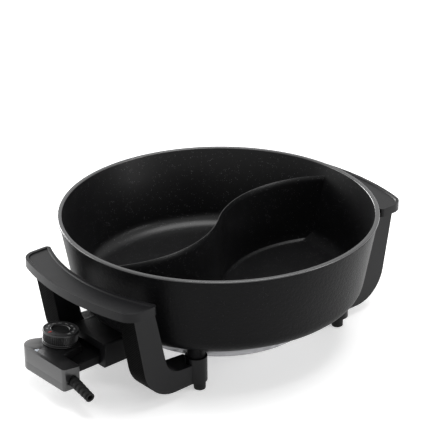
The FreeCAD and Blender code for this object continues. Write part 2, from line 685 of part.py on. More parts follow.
def make_socket_guard():
    """The box round the terminal pins: open mouth in front, a web across its back."""
    body = new_body("socket_guard")
    left, right = "socket_x - guard_half", "socket_x + guard_half"
    block = new_sketch(body, "XZ", lift="guard_front - guard_depth")
    draw_box(block, left, "guard_low", right, "guard_high", "2.5")
    pad(body, block, "guard_depth")
    room = new_sketch(body, "XZ", lift="guard_front - guard_wall")
    draw_box(room, left + " + guard_wall", "guard_low + guard_floor",
             right + " - guard_wall", "guard_high - guard_wall", "1")
    cut(body, room, "guard_front - guard_wall - web_back - guard_wall")
    mouth = new_sketch(body, "XZ", lift="guard_front + 1")
    draw_box(mouth, "socket_x - guard_mouth", "guard_low + guard_floor",
             "socket_x + guard_mouth", "guard_high - mouth_drop", "1")
    cut(body, mouth, "guard_wall + 2")
    back = new_sketch(body, "XZ", lift="web_back")
    draw_box(back, left + " + guard_wall", "guard_low + guard_floor",
             right + " - guard_wall", "guard_high - guard_wall", "1")
    cut(body, back, "guard_depth")
    holes = new_sketch(body, "XZ", lift="web_back + guard_wall + 1")
    draw_circle(holes, "socket_x - pin_spread", "pin_height", "bush_radius + fit")
    draw_circle(holes, "socket_x", "pin_height", "probe_radius + gap")
    draw_circle(holes, "socket_x + pin_spread", "pin_height", "bush_radius + fit")
    cut(body, holes, "guard_wall + 2")
    for low, depth, radius in (
            ("guard_low - 1", "guard_floor + 2", "small_head_radius + 0.6"),
            ("guard_high - guard_wall - 1", "guard_wall + 2", "small_screw + fit")):
        bores = new_sketch(body, "XY", lift=low)
        for side in ("-", "+"):
            draw_circle(bores, "socket_x %s guard_screw" % side, "-guard_screw_y", radius)
        cut(body, bores, depth, down=True)


def make_guard_screws():
    """The two screws that hang the guard under the pan."""
    body = new_body("socket_guard_screws")
    for side in ("-", "+"):
        add_screw(body, "(socket_x %s guard_screw)" % side, "-guard_screw_y",
                  "guard_high - guard_wall - small_head", "small_head_radius", "small_head",
                  "small_screw", "guard_high + guard_tap - 0.5")


def bent_path(points, radius):
    """A wire through points, with every corner rounded."""
    edges = []
    start = points[0]
    for i in range(1, len(points) - 1):
        back = (points[i - 1] - points[i]).normalize()
        ahead = (points[i + 1] - points[i]).normalize()
        half = back.getAngle(ahead) / 2
        reach = radius / math.tan(half)
        into, out = points[i] + back * reach, points[i] + ahead * reach
        centre = points[i] + (back + ahead).normalize() * (radius / math.sin(half))
        middle = centre + (points[i] - centre).normalize() * radius
        edges.append(Part.makeLine(start, into))
        edges.append(Part.Arc(into, middle, out).toShape())
        start = out
    edges.append(Part.makeLine(start, points[-1]))
    return edges


def make_element():
    """The tubular heating element: a ring whose two ends turn out and down to the socket."""
    radius, level = value("element_radius"), value("element_height")
    middle = value("socket_x")
    spread, half = value("pin_spread"), value("gate_half - 4")
    low, end = value("pin_height"), -value("element_end")
    drop = -value("element_end - element_run")
    tails = []
    for side in (-1, 1):
        x = middle + side * half
        begin = Vector(x, -math.sqrt(radius ** 2 - x ** 2), level)
        ahead = Vector(begin.y, -begin.x, 0).normalize() * side
        turn_x = middle + side * spread
        corner = begin + ahead * ((turn_x - begin.x) / ahead.x)
        tails.append([begin, corner, Vector(turn_x, drop, level),
                      Vector(turn_x, drop, low), Vector(turn_x, end, low)])
    first, last = tails
    ring = Part.Arc(first[0], Vector(0, radius, level), last[0]).toShape()
    bend = value("element_bend")
    edges = list(reversed(bent_path(first, bend))) + [ring] + bent_path(last, bend)
    wire = Part.Wire(Part.__sortEdges__(edges))
    disc = Part.Wire(Part.makeCircle(value("element_tube"), first[-1], Vector(0, 1, 0)))
    tube = wire.makePipeShell([disc], True, False)
    item = FreeCAD.ActiveDocument.addObject("Part::Feature", "heating_element")
    item.Label = "heating_element"
    item.Shape = tube
    bind(item, "Placement.Base.y", "axis_y")


def make_pin(label, sign):
    """A terminal pin with a rounded tip, from the element's end into the guard."""
    body = new_body(label, "socket_x %s pin_spread" % sign, "axis_y - element_end", "pin_height")
    sketch = new_sketch(body, "XY")
    draw(sketch, [
        ("0", "0", "0"),
        ("pin_radius", "0", "0"),
        ("pin_radius", "-pin_length + 2", "0"),
        ("pin_radius - 1", "-pin_length", "0"),
        ("0", "-pin_length", "0")])
    spin(body, sketch)


def make_pin_bush(label, sign):
    """The ceramic bush that carries a pin in the guard's web."""
    body = new_body(label, "socket_x %s pin_spread" % sign, "axis_y - element_end", "pin_height")
    sketch = new_sketch(body, "XY")
    draw(sketch, [
        ("pin_radius + 0.02", "-0.2", "0"),
        ("bush_radius", "-0.2", "0"),
        ("bush_radius", "-bush_length", "0"),
        ("pin_radius + 0.02", "-bush_length", "0")])
    spin(body, sketch)


def housing_outline(sketch, edge):
    """The control housing seen from above, drawn in from its sides by one distance."""
    draw(sketch, [
        ("control_right - %s" % edge, "-control_front + %s" % edge, "3.5 - %s" % edge),
        ("-control_left + 1.42 * %s" % edge, "-control_front - 1 + %s" % edge, "16 - %s" % edge),
        ("-control_left + 19 + 0.71 * %s" % edge, "-control_back - %s" % edge, "10 - %s" % edge),
        ("2 - 0.83 * %s" % edge, "-control_back - %s" % edge, "8 - %s" % edge),
        ("8 - 0.83 * %s" % edge, "control_arm - control_front - %s" % edge, "4 + %s" % edge),
        ("control_right + 1 - %s" % edge, "control_arm - control_front - %s" % edge,
         "3.5 - %s" % edge)])


def notch_for_nose(body, low, height, back):
    """The opening in a shell's back that the nose sits in."""
    notch = new_sketch(body, "XY", lift=low)
    draw_box(notch, "-nose_half - gap", back, "nose_half + gap", "nose_reach")
    cut(body, notch, height, down=True)


def relief_holes(body, radius, length, offset):
    """Round room for the strain relief, about the parting line, along X."""
    room = new_sketch(body, "YZ", lift="control_right - %s" % offset)
    draw_circle(room, "relief_y", "control_split", radius)
    cut(body, room, length, down=True)


def make_bottom_shell():
    """The lower half of the control housing, with its screw posts and lamp post."""
    body = control_body("control_bottom_shell")
    outline = new_sketch(body, "XY")
    housing_outline(outline, "0")
    pad(body, outline, "control_split")
    room = new_sketch(body, "XY", lift="control_split")
    housing_outline(room, "shell_wall")
    cut(body, room, "control_split - shell_wall")
    posts = new_sketch(body, "XY", lift="shell_wall - 0.1")
    for x, y in SHELL_SCREWS:
        draw_circle(posts, x, y, "post_radius")
    pad(body, posts, "control_split - shell_wall + 0.1")
    lamp = new_sketch(body, "XY", lift="shell_wall - 0.1")
    draw_circle(lamp, "lamp_x", "lamp_y", "lamp_radius + 1.2")
    pad(body, lamp, "lamp_low - shell_wall + 2.1")
    cup = new_sketch(body, "XY", lift="lamp_low + 2.1")
    draw_circle(cup, "lamp_x", "lamp_y", "lamp_radius + fit")
    cut(body, cup, "2.1")
    for low, depth, radius in (
            ("-1", "small_head + 1.2", "small_head_radius + fit"),
            ("-1", "control_split + 2", "small_screw + fit")):
        bores = new_sketch(body, "XY", lift=low)
        for x, y in SHELL_SCREWS:
            draw_circle(bores, x, y, radius)
        cut(body, bores, depth, down=True)
    notch_for_nose(body, "nose_low", "control_split", "nose_reach - nose_length - gap")
    relief_holes(body, "relief_neck + 2 * gap", "8", "4")


def roof_line(drop):
    """The slope of the housing's top seen from the side, lowered by a thickness."""
    return [
        ("-control_front - 5", "control_height + 5 * tan(control_slope) - %s" % drop, "0"),
        ("5", "control_height - (control_front + 5) * tan(control_slope) - %s" % drop, "0")]


def make_top_shell():
    """The upper half of the housing: sloping roof, dial hole, lens window, posts."""
    body = control_body("control_top_shell")
    outline = new_sketch(body, "XY", lift="control_split")
    housing_outline(outline, "0")
    pad(body, outline, "control_height - control_split")
    room = new_sketch(body, "XY", lift="control_split - 1")
    housing_outline(room, "shell_wall")
    cut(body, room, "control_height + 5", down=True)
    roof = new_sketch(body, "YZ")
    draw(roof, [*roof_line("0"), *reversed(roof_line("shell_wall"))])
    pad(body, roof, "4 * control_left", both=True)
    trim = new_sketch(body, "XY", lift="control_split - 1")
    draw_box(trim, "-4 * control_left", "-2 * control_front", "4 * control_left", "control_front")
    housing_outline(trim, "0")
    cut(body, trim, "control_height + 5", down=True)
    posts = new_sketch(body, "XY", lift="control_split")
    for x, y in SHELL_SCREWS:
        draw_circle(posts, x, y, "post_radius")
    pad(body, posts, "control_height - control_split")
    slope = new_sketch(body, "YZ")
    draw(slope, [*roof_line("0"), ("5", "control_height + 5", "0"),
                 ("-control_front - 5", "control_height + 5", "0")])
    cut(body, slope, "4 * control_left", both=True)
    taps = new_sketch(body, "XY", lift="control_split - 1")
    for x, y in SHELL_SCREWS:
        draw_circle(taps, x, y, "small_screw + 0.02")
    cut(body, taps, "small_tap", down=True)
    dial = new_sketch(body, "XY", lift="dial_seat - shell_wall - 2")
    draw_circle(dial, "dial_x", "dial_y", "shaft_bush_radius + 0.8")
    cut(body, dial, "shell_wall + 6", down=True)
    window = new_sketch(body, "XY", lift="control_split + 3")
    draw(window, lens_corners("fit"))
    cut(body, window, "control_height", down=True)
    notch_for_nose(body, "0", "nose_high + gap", "nose_reach - nose_length - gap")
    relief_holes(body, "relief_neck + 2 * gap", "8", "4")


def lens_corners(edge):
    """The pointer-shaped window in front of the dial, grown by one distance."""
    return [
        ("lens_x - lens_half - 2 * %s" % edge, "lens_y - lens_half - %s" % edge, "0.5"),
        ("lens_x + lens_half + 2 * %s" % edge, "lens_y - lens_half - %s" % edge, "0.5"),
        ("lens_x", "lens_y + lens_half + 2 * %s" % edge, "0.5")]


def make_lens():
    """The clear pointer in its window, with a rim under the roof."""
    body = control_body("indicator_lens")
    top = "control_height - (control_front + lens_y) * tan(control_slope)"
    stem = new_sketch(body, "XY", lift=top + " - shell_wall - 1")
    draw(stem, lens_corners("0"))
    pad(body, stem, "shell_wall + 1.2")
    rim = new_sketch(body, "XY", lift=top + " - shell_wall - 1.6")
    draw_box(rim, "lens_x - lens_half - 2", "lens_y - lens_half - 1.5",
             "lens_x + lens_half + 2", "lens_y + lens_half + 1.5", "0.8")
    pad(body, rim, "1")


def make_lamp():
    """The neon lamp, standing in its cup under the lens."""
    body = control_body("neon_lamp")
    sketch = new_sketch(body, "XZ", across="lamp_x", lift="-lamp_y")
    draw(sketch, [
        ("0", "lamp_low", "0"),
        ("lamp_radius", "lamp_low", "0"),
        ("lamp_radius", "lamp_high", "2"),
        ("0", "lamp_high", "0")])
    spin(body, sketch)


def make_nose():
    """The moulded nose that plugs into the guard, bored for pins and probe."""
    body = control_body("nose_block")
    block = new_sketch(body, "XZ", lift="-nose_reach")
    draw_box(block, "-nose_half", "nose_low", "nose_half", "nose_high", "1.2")
    pad(body, block, "nose_length")
    for x, radius in (
            ("-pin_spread", "sleeve_radius + 0.03"),
            ("pin_spread", "sleeve_radius + 0.03"),
            ("0", "probe_radius + 0.03")):
        bore = new_sketch(body, "XZ", lift="-nose_reach - 1")
        draw_circle(bore, x, "pin_level", radius)
        cut(body, bore, "nose_length + 2", down=True)


def make_receptacle(label, sign):
    """A sprung brass sleeve for a pin, split along its top, with a tail for the wire."""
    body = control_body(label)
    centre = sign + "pin_spread"
    sleeve = new_sketch(body, "XZ", lift="-nose_reach + 1.5")
    draw_circle(sleeve, centre, "pin_level", "sleeve_radius")
    draw_circle(sleeve, centre, "pin_level", "pin_radius + fit")
    pad(body, sleeve, "sleeve_length")
    split = new_sketch(body, "XZ", lift="-nose_reach + 0.5")
    draw_box(split, centre + " - 0.4", "pin_level", centre + " + 0.4", "pin_level + 5")
    cut(body, split, "sleeve_length - 8", down=True)
    tail = new_sketch(body, "XZ", lift="sleeve_length - nose_reach + 0.5")
    draw_box(tail, centre + " - 1.5", "pin_level - 3.3", centre + " + 1.5", "pin_level - 2.5")
    pad(body, tail, "nose_length - sleeve_length - 1.5")


def make_probe():
    """The temperature probe: a closed tube with a round tip and a crimped root."""
    body = control_body("probe_tube")
    sketch = new_sketch(body, "XY")
    draw(sketch, [
        ("0", "probe_tip - 1.2", "0"),
        ("0", "probe_tip", "0"),
        ("probe_radius", "probe_tip", "2.6"),
        ("probe_radius", "nose_reach - nose_length - 0.5", "0"),
        ("probe_radius - 0.7", "nose_reach - nose_length - 0.5", "0"),
        ("probe_radius - 0.7", "probe_tip - 1.2", "1.5")])
    spin(body, sketch)
    bind(body, "Placement.Base.z", "control_low + pin_level")


def add_plate(body, x_low, y_low, x_high, y_high, low, height, hole=None):
    """A flat piece, with one round hole if given."""
    sketch = new_sketch(body, "XY", lift=low)
    draw_box(sketch, x_low, y_low, x_high, y_high, "0.8")
    pad(body, sketch, height)
    if hole:
        bore = new_sketch(body, "XY", lift="%s - 1" % low)
        draw_circle(bore, *hole)
        cut(body, bore, "%s + 2" % height, down=True)


def make_thermostat():
    """Frame, insulators and the two sprung blades of the thermostat, on the nose."""
    frame = control_body("thermostat_frame")
    add_plate(frame, "dial_x - 7.5", "dial_y - 13", "dial_x + 12", "dial_y + 2.7",
              "nose_high", "frame_sheet", ("dial_x", "dial_y", "shaft_radius + 0.5"))
    level = "nose_high + frame_sheet"
    for label, x_high, thick in (
            ("lower_insulator", "dial_x", "1.2"),
            ("contact_blade", "dial_x + 11", "0.4"),
            ("upper_insulator", "dial_x", "1.2"),
            ("bimetal_blade", "dial_x + 10", "0.7")):
        piece = control_body(label)
        add_plate(piece, "dial_x - 7", "dial_y - 12", x_high, "dial_y - 7", level, thick)
        level += " + " + thick


def dial_body(label):
    """A body in the dial's frame: on the sloping roof, square to it."""
    body = new_body(label, "socket_x + dial_x", "control_y + dial_y", "control_low + dial_seat")
    body.Placement.Rotation = Rotation(Vector(1, 0, 0), -value("control_slope"))
    return body


def turned(body, corners):
    """A piece turned about its own axis."""
    sketch = new_sketch(body, "XZ")
    draw(sketch, corners)
    spin(body, sketch)


def make_dial():
    """Bush, shaft, knob and number ring of the temperature dial."""
    turned(dial_body("shaft_bush"), [
        ("shaft_radius + 0.05", "-bush_depth", "0"),
        ("shaft_bush_radius", "-bush_depth", "0"),
        ("shaft_bush_radius", "0", "0"),
        ("shaft_radius + 0.05", "0", "0")])
    turned(dial_body("adjusting_shaft"), [
        ("0", "-bush_depth + 0.3", "0"),
        ("shaft_radius", "-bush_depth + 0.3", "0"),
        ("shaft_radius", "dial_height - 4", "0"),
        ("0", "dial_height - 4", "0")])
    turned(dial_body("dial_scale_ring"), [
        ("ring_inner", "dial_height - ring_thick", "0"),
        ("ring_outer", "dial_height - ring_thick", "0"),
        ("ring_outer", "dial_height", "0"),
        ("ring_inner", "dial_height", "0")])
    knob = dial_body("dial_knob")
    side = "dial_radius - dial_groove"
    turned(knob, [
        ("shaft_radius + 0.02", "0.4", "0"),
        ("dial_radius", "0.4", "0"),
        ("dial_radius", "1.7", "0"),
        (side, "2", "0"),
        ("dial_radius", "2.3", "0"),
        ("dial_radius", "3.6", "0"),
        (side, "3.9", "0"),
        (side, "dial_height - 3", "0"),
        ("dial_radius", "dial_height - 2.6", "0"),
        ("dial_radius", "dial_height - 0.7", "0"),
        ("dial_radius - 0.7", "dial_height", "0"),
        ("ring_outer + fit", "dial_height", "0"),
        ("ring_outer + fit", "dial_height - ring_thick", "0"),
        ("ring_inner - fit", "dial_height - ring_thick", "0"),
        ("ring_inner - fit", "dial_height", "0"),
        ("ring_inner - 1.2", "dial_height", "0"),
        ("ring_inner - 1.8", "dial_height - 0.8", "0"),
        ("0", "dial_height - 0.8", "0"),
        ("0", "dial_height - 3.9", "0"),
        ("shaft_radius + 0.02", "dial_height - 3.9", "0")])
    rib = new_sketch(knob, "XY", lift="3.8")
    draw_box(rib, "-0.5", side + " - 1", "0.5", "dial_radius - 0.4")
    ribs = knob.newObject("PartDesign::PolarPattern", "Ribs")
    ribs.Originals = [pad(knob, rib, "dial_height - 6.7")]
    ribs.Axis = (rib, ["N_Axis"])
    ribs.Angle = 360
    ribs.Occurrences = DIAL_RIBS
    knob.Tip = ribs
    FreeCAD.ActiveDocument.recompute()


def make_strain_relief():
    """The ribbed sleeve for the cord, held by its flange inside the housing."""
    body = new_body("strain_relief", "socket_x + control_right + 0.8", "control_y + relief_y",
                    "control_low + control_split")
    body.Placement.Rotation = Rotation(Vector(0, 0, 1), Vector(0.984, -0.086, -0.156))
    corners = [
        ("cord_bore", "-6", "0"),
        ("relief_neck + 1.6", "-6", "0"),
        ("relief_neck + 1.6", "-4.2", "0"),
        ("relief_neck", "-4.2", "0"),
        ("relief_neck", "1.2", "0"),
        ("relief_radius", "1.2", "0")]
    for i in range(RELIEF_RINGS):
        start = "relief_length * %g" % ((i + 0.62) / RELIEF_RINGS)
        outer = "relief_radius - %g" % (0.16 * i)
        corners += [(outer, start, "0"),
                    (outer + " - relief_groove", start + " + 0.9", "0"),
                    (outer + " - relief_groove", start + " + 1.9", "0"),
                    (outer + " - 0.1", start + " + 2.8", "0")]
    corners = corners[:-1] + [("relief_radius - 0.6", "relief_length - 0.6", "0"),
                              ("relief_radius - 0.6", "relief_length", "0"),
                              ("cord_bore", "relief_length", "0")]
    turned(body, corners)


def make_shell_screws():
    """The three screws that close the control housing."""
    body = control_body("shell_screws")
    for x, y in SHELL_SCREWS:
        add_screw(body, x, y, "0.2", "small_head_radius", "small_head", "small_screw",
                  "control_split + small_tap - 1.5")


def write_parts(doc):
    """Check every object, then write one STEP file for each sub-part."""
    for item in doc.Objects:
        if "Invalid" in item.State or "Error" in item.State:
            raise RuntimeError("%s: %s %s" % (item.Label, item.Name, item.State))
    os.makedirs("parts", exist_ok=True)
    for item in doc.Objects:
        if not item.isDerivedFrom("PartDesign::Body") and item.TypeId != "Part::Feature":
            continue
        shape = item.Shape
        if shape.isNull() or not shape.isValid() or not shape.Solids:
            raise RuntimeError(item.Label + ": bad shape")
        shape.exportStep("parts/%s.step" % item.Label)
        print(item.Label, len(shape.Solids), round(shape.Volume / 1000, 2))


def build():
    doc = FreeCAD.newDocument("hot_pot")
    fill_sheet(doc)
    make_pan_body()
    make_element()
    for name, sign in (("left", "-"), ("right", "+")):
        make_pin(name + "_pin", sign)
        make_pin_bush(name + "_pin_bush", sign)
        make_receptacle(name + "_receptacle", sign)
    make_base_cover()
    make_base_cover_screws()
    make_socket_guard()
    make_guard_screws()
    for end, sign in (("front", "-"), ("rear", "")):
        make_handle(end + "_handle", sign)
        make_foot(end + "_left_foot", "-", sign)
        make_foot(end + "_right_foot", "", sign)
    make_handle_screws()
    make_bottom_shell()
    make_top_shell()
    make_lens()
    make_lamp()
    make_nose()
    make_probe()
    make_thermostat()
    make_strain_relief()
    make_shell_screws()
    make_dial()
    doc.recompute()
    write_parts(doc)


build()
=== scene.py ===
import json
import math
import bmesh
import bpy
from bpy.props import FloatProperty, FloatVectorProperty, IntProperty, PointerProperty
from mathutils import Matrix, Vector


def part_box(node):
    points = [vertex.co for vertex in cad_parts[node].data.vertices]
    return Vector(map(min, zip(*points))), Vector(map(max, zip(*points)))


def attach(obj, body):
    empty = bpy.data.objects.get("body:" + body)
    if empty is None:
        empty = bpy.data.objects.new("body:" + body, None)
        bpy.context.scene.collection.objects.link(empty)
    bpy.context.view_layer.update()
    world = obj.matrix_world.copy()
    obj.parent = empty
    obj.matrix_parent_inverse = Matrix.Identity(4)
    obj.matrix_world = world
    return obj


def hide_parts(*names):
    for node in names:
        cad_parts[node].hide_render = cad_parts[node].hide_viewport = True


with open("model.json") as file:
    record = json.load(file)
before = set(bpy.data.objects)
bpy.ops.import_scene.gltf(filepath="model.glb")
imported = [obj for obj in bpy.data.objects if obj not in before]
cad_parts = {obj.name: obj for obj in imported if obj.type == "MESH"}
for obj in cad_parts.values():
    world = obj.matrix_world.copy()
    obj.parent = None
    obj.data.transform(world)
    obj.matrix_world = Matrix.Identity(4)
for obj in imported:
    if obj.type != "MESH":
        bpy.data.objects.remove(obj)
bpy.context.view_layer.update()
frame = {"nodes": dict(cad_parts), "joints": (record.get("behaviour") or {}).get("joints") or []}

bl_info = {
    "name": "Divided hot pot",
    "version": (1, 0, 0),
    "blender": (4, 5, 0),
    "location": "View3D > Sidebar > Hot pot",
    "description": "Dresses the frame of a divided electric hot pot with meshes and finishes",
    "category": "Object",
}

MM = 0.001
POLE = 1e-6  # radius that stands for a point on a turned piece's axis
SHARP = math.radians(38)  # edges bent by more than this are rounded
FLAT = math.radians(1)  # faces bent by less than this are made one
DIVIDER_DRAFT = math.radians(1.2)
DIVIDER_FLARE = 5 * MM

# The leg's side view: distances from the pan's axis, and heights
LEG_TOP = 116 * MM
LEG_TOP_OUTER = 186 * MM
LEG_TOP_INNER = 160.5 * MM
LEG_HEEL = 167.2 * MM
LEG_HEEL_ROUND = 40 * MM
LEG_CROOK = (142.4 * MM, 34.1 * MM)
LEG_CROOK_ROUND = 20 * MM
LEG_FOOT_TOP = 31 * MM

# The cone that fades a leg's head into the plate's inner edge
FADE_HEIGHT = 46 * MM
FADE_MIDDLE = 93.3 * MM
FADE_LOW, FADE_HIGH = 17.7 * MM, 0.2 * MM  # inside the bow at its foot and its top

# Where the ribbed finish of a leg's outer face, with its painted shade, ends
RIBBED_MARGIN = 1.2 * MM
RIBBED_TOP = 111 * MM
RIBBED_UNDER = 138 * MM

# The plate's raised rim and the dish inside it
PLATE_RIM = 3.4 * MM
PLATE_DISH_EDGE = 0.9 * MM
PLATE_DISH = 1.2 * MM
PLATE_INNER_ROUND = 4 * MM

# The bores in a collar for the pan's boss, the foot's stem and the screw
BOSS_RADIUS = 9.8 * MM
STEM_X, STEM_Y = 82.6 * MM, 99.3 * MM
STEM_RADIUS, STEM_TOP = 5.2 * MM, 16.6 * MM
SCREW_RADIUS, SCREW_LOW, SCREW_TOP = 4.2 * MM, 16 * MM, 20.4 * MM

FIRST_NUMBER, LAST_NUMBER, NUMBER_STEP = 80, 240, 20
FIRST_NUMBER_ANGLE, NUMBER_ANGLE = 38, 29  # degrees, clockwise from the mark

SENSOR_WIDTH = 36  # millimetres
CAMERA_SHIFT = (-0.00777, -0.01521)
LAMP_AIM = Vector((0, 0, 0.08))
# Name, place, width in metres and power in watts
LAMPS = (
    ("top_lamp", (0.1, 0.3, 1.9), 1.4, 24.0),
    ("left_lamp", (-1.5, -1.2, 0.5), 0.8, 10.0),
    ("left_rim_lamp", (-1.5, 0.1, 0.4), 0.9, 22.0),
    ("right_lamp", (1.5, 0.9, 0.7), 0.9, 12.0),
)
PAN_LOW, PAN_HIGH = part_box("pan_body")
AXIS_Y = (PAN_LOW[1] + PAN_HIGH[1]) / 2
RIM_Z = PAN_HIGH[2]


def length(name, note, default):
    """A size in metres for the sidebar."""
    return FloatProperty(name=name, description=note, default=default, unit="LENGTH")


def colour(name, note, default):
    """A colour for the sidebar."""
    return FloatVectorProperty(name=name, description=note, default=default,
                               subtype="COLOR", size=3, min=0.0, max=1.0)


class PanSizes(bpy.types.PropertyGroup):
    rim: length("Rim radius", "Outer radius of the rim bead", 170 * MM)
    depth: length("Depth", "Rim down to the underside", 92 * MM)
    wall: length("Wall", "Wall of the casting", 3.2 * MM)
    floor: length("Floor", "Floor of the casting", 4 * MM)
    base: length("Base radius", "Where wall and floor would meet if sharp", 153 * MM)
    base_round: length("Base rounding", "Outer rounding at the base", 20 * MM)
    inner_round: length("Inner rounding", "Inner rounding at the base", 17 * MM)
    bead: length("Bead height", "Height of the rim bead", 3.4 * MM)
    lip: length("Bead lip", "How far the bead stands out", 1.5 * MM)
    drop: length("Divider drop", "Divider top below the rim", 12 * MM)
    width: length("Divider width", "Divider thickness at its top", 3 * MM)
    bow: length("Divider bow", "Radius of the two arcs", 133 * MM)
    reach: length("Divider reach", "Centre to the end of the S", 166 * MM)
    slip: length("Divider slip", "Sideways place of its end", 4 * MM)
    coat: colour("Coating", "Black coating of the casting", (0.0042, 0.0042, 0.0046))
    speck: colour("Specks", "Pale specks in the coating", (0.09, 0.09, 0.093))


class ControlSizes(bpy.types.PropertyGroup):
    knob: length("Dial radius", "Radius of the dial's top", 18.8 * MM)
    knob_height: length("Dial height", "Height of the dial", 15 * MM)
    ribs: IntProperty(name="Ribs", description="Grip ribs round the dial", default=54, min=12)
    digits: length("Digit height", "Height of the dial's numbers", 2.6 * MM)
    black: colour("Housing", "Black moulding of the control", (0.008, 0.008, 0.0085))
    print_colour: colour("Print", "Light grey of the dial's numbers", (0.55, 0.55, 0.55))
    mark: colour("Mark", "Red of the dial's mark", (0.6, 0.03, 0.03))


class HandleSizes(bpy.types.PropertyGroup):
    edge: length("Edge rounding", "Rounding along the moulding's edges", 1.0 * MM)
    shift: length("Shift", "Handle's middle beside the pan's", 3.4 * MM)
    half: length("Half length", "Half length of the plate", 89.5 * MM)
    top: length("Plate top", "Top of the plate above the counter", 121 * MM)
    thick: length("Plate thickness", "Thickness of the plate", 9.5 * MM)
    inner: length("Inner edge", "Pan axis to the plate's inner edge", 179.4 * MM)
    inner_bow: length("Inner bow", "Radius of the plate's inner edge", 201.4 * MM)
    outer: length("Outer edge", "Pan axis to the plate's outer edge", 208.2 * MM)
    outer_bow: length("Outer bow", "Radius of the plate's outer edge", 272.4 * MM)
    corner: length("Outer corners", "Rounding of the plate's outer corners", 17 * MM)
    leg_start: length("Leg start", "Handle's middle to a leg's inner side", 56.2 * MM)
    leg_width: length("Leg width", "Width of a leg", 26.3 * MM)
    collar: length("Collar", "Radius of a foot collar", 11.6 * MM)
    collar_x: length("Collar place", "Collar's axis, sideways", 80.2 * MM)
    collar_y: length("Collar reach", "Collar's axis, front to back", 101.7 * MM)
    collar_low: length("Collar foot", "Underside of the collars", 10.5 * MM)
    collar_top: length("Collar top", "Top of the collars", 38.5 * MM)
    black: colour("Moulding", "Black of the handles", (0.0045, 0.0045, 0.005))


class StageSizes(bpy.types.PropertyGroup):
    turn: FloatProperty(name="Camera turn", description="Camera's way round the pot",
                        default=math.radians(48.71), subtype="ANGLE")
    rise: FloatProperty(name="Camera rise", description="Camera above the horizon",
                        default=math.radians(24.917), subtype="ANGLE")
    roll: FloatProperty(name="Camera roll", description="Camera's tilt about its view",
                        default=math.radians(-0.338), subtype="ANGLE")
    distance: length("Camera distance", "Camera to the middle of the rim", 1.8)
    lens: FloatProperty(name="Lens", description="Focal length in millimetres", default=142.63)
    floor: colour("Floor", "Pale floor and backdrop", (0.92, 0.92, 0.92))


def sizes():
    """The sizes and colours that the sidebar shows."""
    return bpy.context.scene.hot_pot


# Modelling


def pick(obj):
    """Make one object the only one selected, in object mode."""
    if bpy.context.object and bpy.context.object.mode != "OBJECT":
        bpy.ops.object.mode_set(mode="OBJECT")
    bpy.ops.object.select_all(action="DESELECT")
    obj.select_set(True)
    bpy.context.view_layer.objects.active = obj


def enter(obj, mode="VERT"):
    """Open an object in edit mode with nothing selected."""
    pick(obj)
    bpy.ops.object.mode_set(mode="EDIT")
    bpy.ops.mesh.select_mode(type=mode)
    bpy.ops.mesh.select_all(action="DESELECT")


def leave():
    """Go back to object mode."""
    bpy.ops.object.mode_set(mode="OBJECT")


def select(obj, test, part="verts"):
    """Select the vertices, edges or faces that the test accepts, in edit mode."""
    bpy.ops.mesh.select_all(action="DESELECT")
    mesh = bmesh.from_edit_mesh(obj.data)
    for item in getattr(mesh, part):
        item.select = bool(test(item))
    mesh.select_flush_mode()
    bmesh.update_edit_mesh(obj.data)


def apply(obj, kind, **settings):
    """Add a modifier, set it and apply it."""
    pick(obj)
    bpy.ops.object.modifier_add(type=kind)
    modifier = obj.modifiers[-1]
    for name, setting in settings.items():
        setattr(modifier, name, setting)
    bpy.ops.object.modifier_apply(modifier=modifier.name)


def tidy(obj):
    """Merge doubled vertices and turn the faces outwards."""
    enter(obj)
    bpy.ops.mesh.select_all(action="SELECT")
    bpy.ops.mesh.remove_doubles(threshold=1e-5)
    bpy.ops.mesh.normals_make_consistent(inside=False)
    leave()


def rounded(corners, steps):
    """Points along an outline whose corners are (across, up, rounding)."""
    points = []
    for i, (r, z, rounding) in enumerate(corners):
        here = Vector((r, z))
        if not rounding:
            points.append(here)
            continue
        before = (Vector(corners[i - 1][:2]) - here).normalized()
        after = (Vector(corners[(i + 1) % len(corners)][:2]) - here).normalized()
        half = before.angle(after) / 2
        centre = here + (before + after).normalized() * (rounding / math.sin(half))
        start = here + before * (rounding / math.tan(half)) - centre
        sweep = (math.pi - 2 * half) * (1 if before.cross(after) < 0 else -1)
        for k in range(steps + 1):
            points.append(centre + Matrix.Rotation(sweep * k / steps, 2) @ start)
    return points


def turn(name, corners, segments=64, steps=4, centre=(0, 0)):
    """A turned piece: a circle extruded and resized from ring to ring."""
    points = rounded(corners, steps)
    x, y = centre
    bpy.ops.object.select_all(action="DESELECT")
    bpy.ops.mesh.primitive_circle_add(vertices=segments, radius=max(points[0][0], POLE),
                                      location=(x, y, points[0][1]))
    obj = bpy.context.object
    obj.name = name
    bpy.ops.object.mode_set(mode="EDIT")
    for low, high in zip(points, points[1:]):
        bpy.ops.mesh.extrude_region_move(
            TRANSFORM_OT_translate={"value": (0, 0, high[1] - low[1])})
        grow = max(high[0], POLE) / max(low[0], POLE)
        bpy.ops.transform.resize(value=(grow, grow, 1), center_override=(x, y, high[1]))
    leave()
    pick(obj)
    bpy.ops.object.transform_apply(location=True, rotation=True, scale=True)
    tidy(obj)
    return obj


def slab(name, outline, depth):
    """A closed outline extruded upwards from its plane by a depth."""
    bpy.ops.object.select_all(action="DESELECT")
    bpy.ops.mesh.primitive_circle_add(vertices=len(outline), radius=1, fill_type="NGON")
    obj = bpy.context.object
    obj.name = name
    bpy.ops.object.mode_set(mode="EDIT")
    mesh = bmesh.from_edit_mesh(obj.data)
    for vertex, point in zip(mesh.verts, outline):
        vertex.co = (point[0], point[1], 0)
    bmesh.update_edit_mesh(obj.data)
    bpy.ops.mesh.select_all(action="SELECT")
    bpy.ops.mesh.extrude_region_move(TRANSFORM_OT_translate={"value": (0, 0, depth)})
    leave()
    tidy(obj)
    return obj


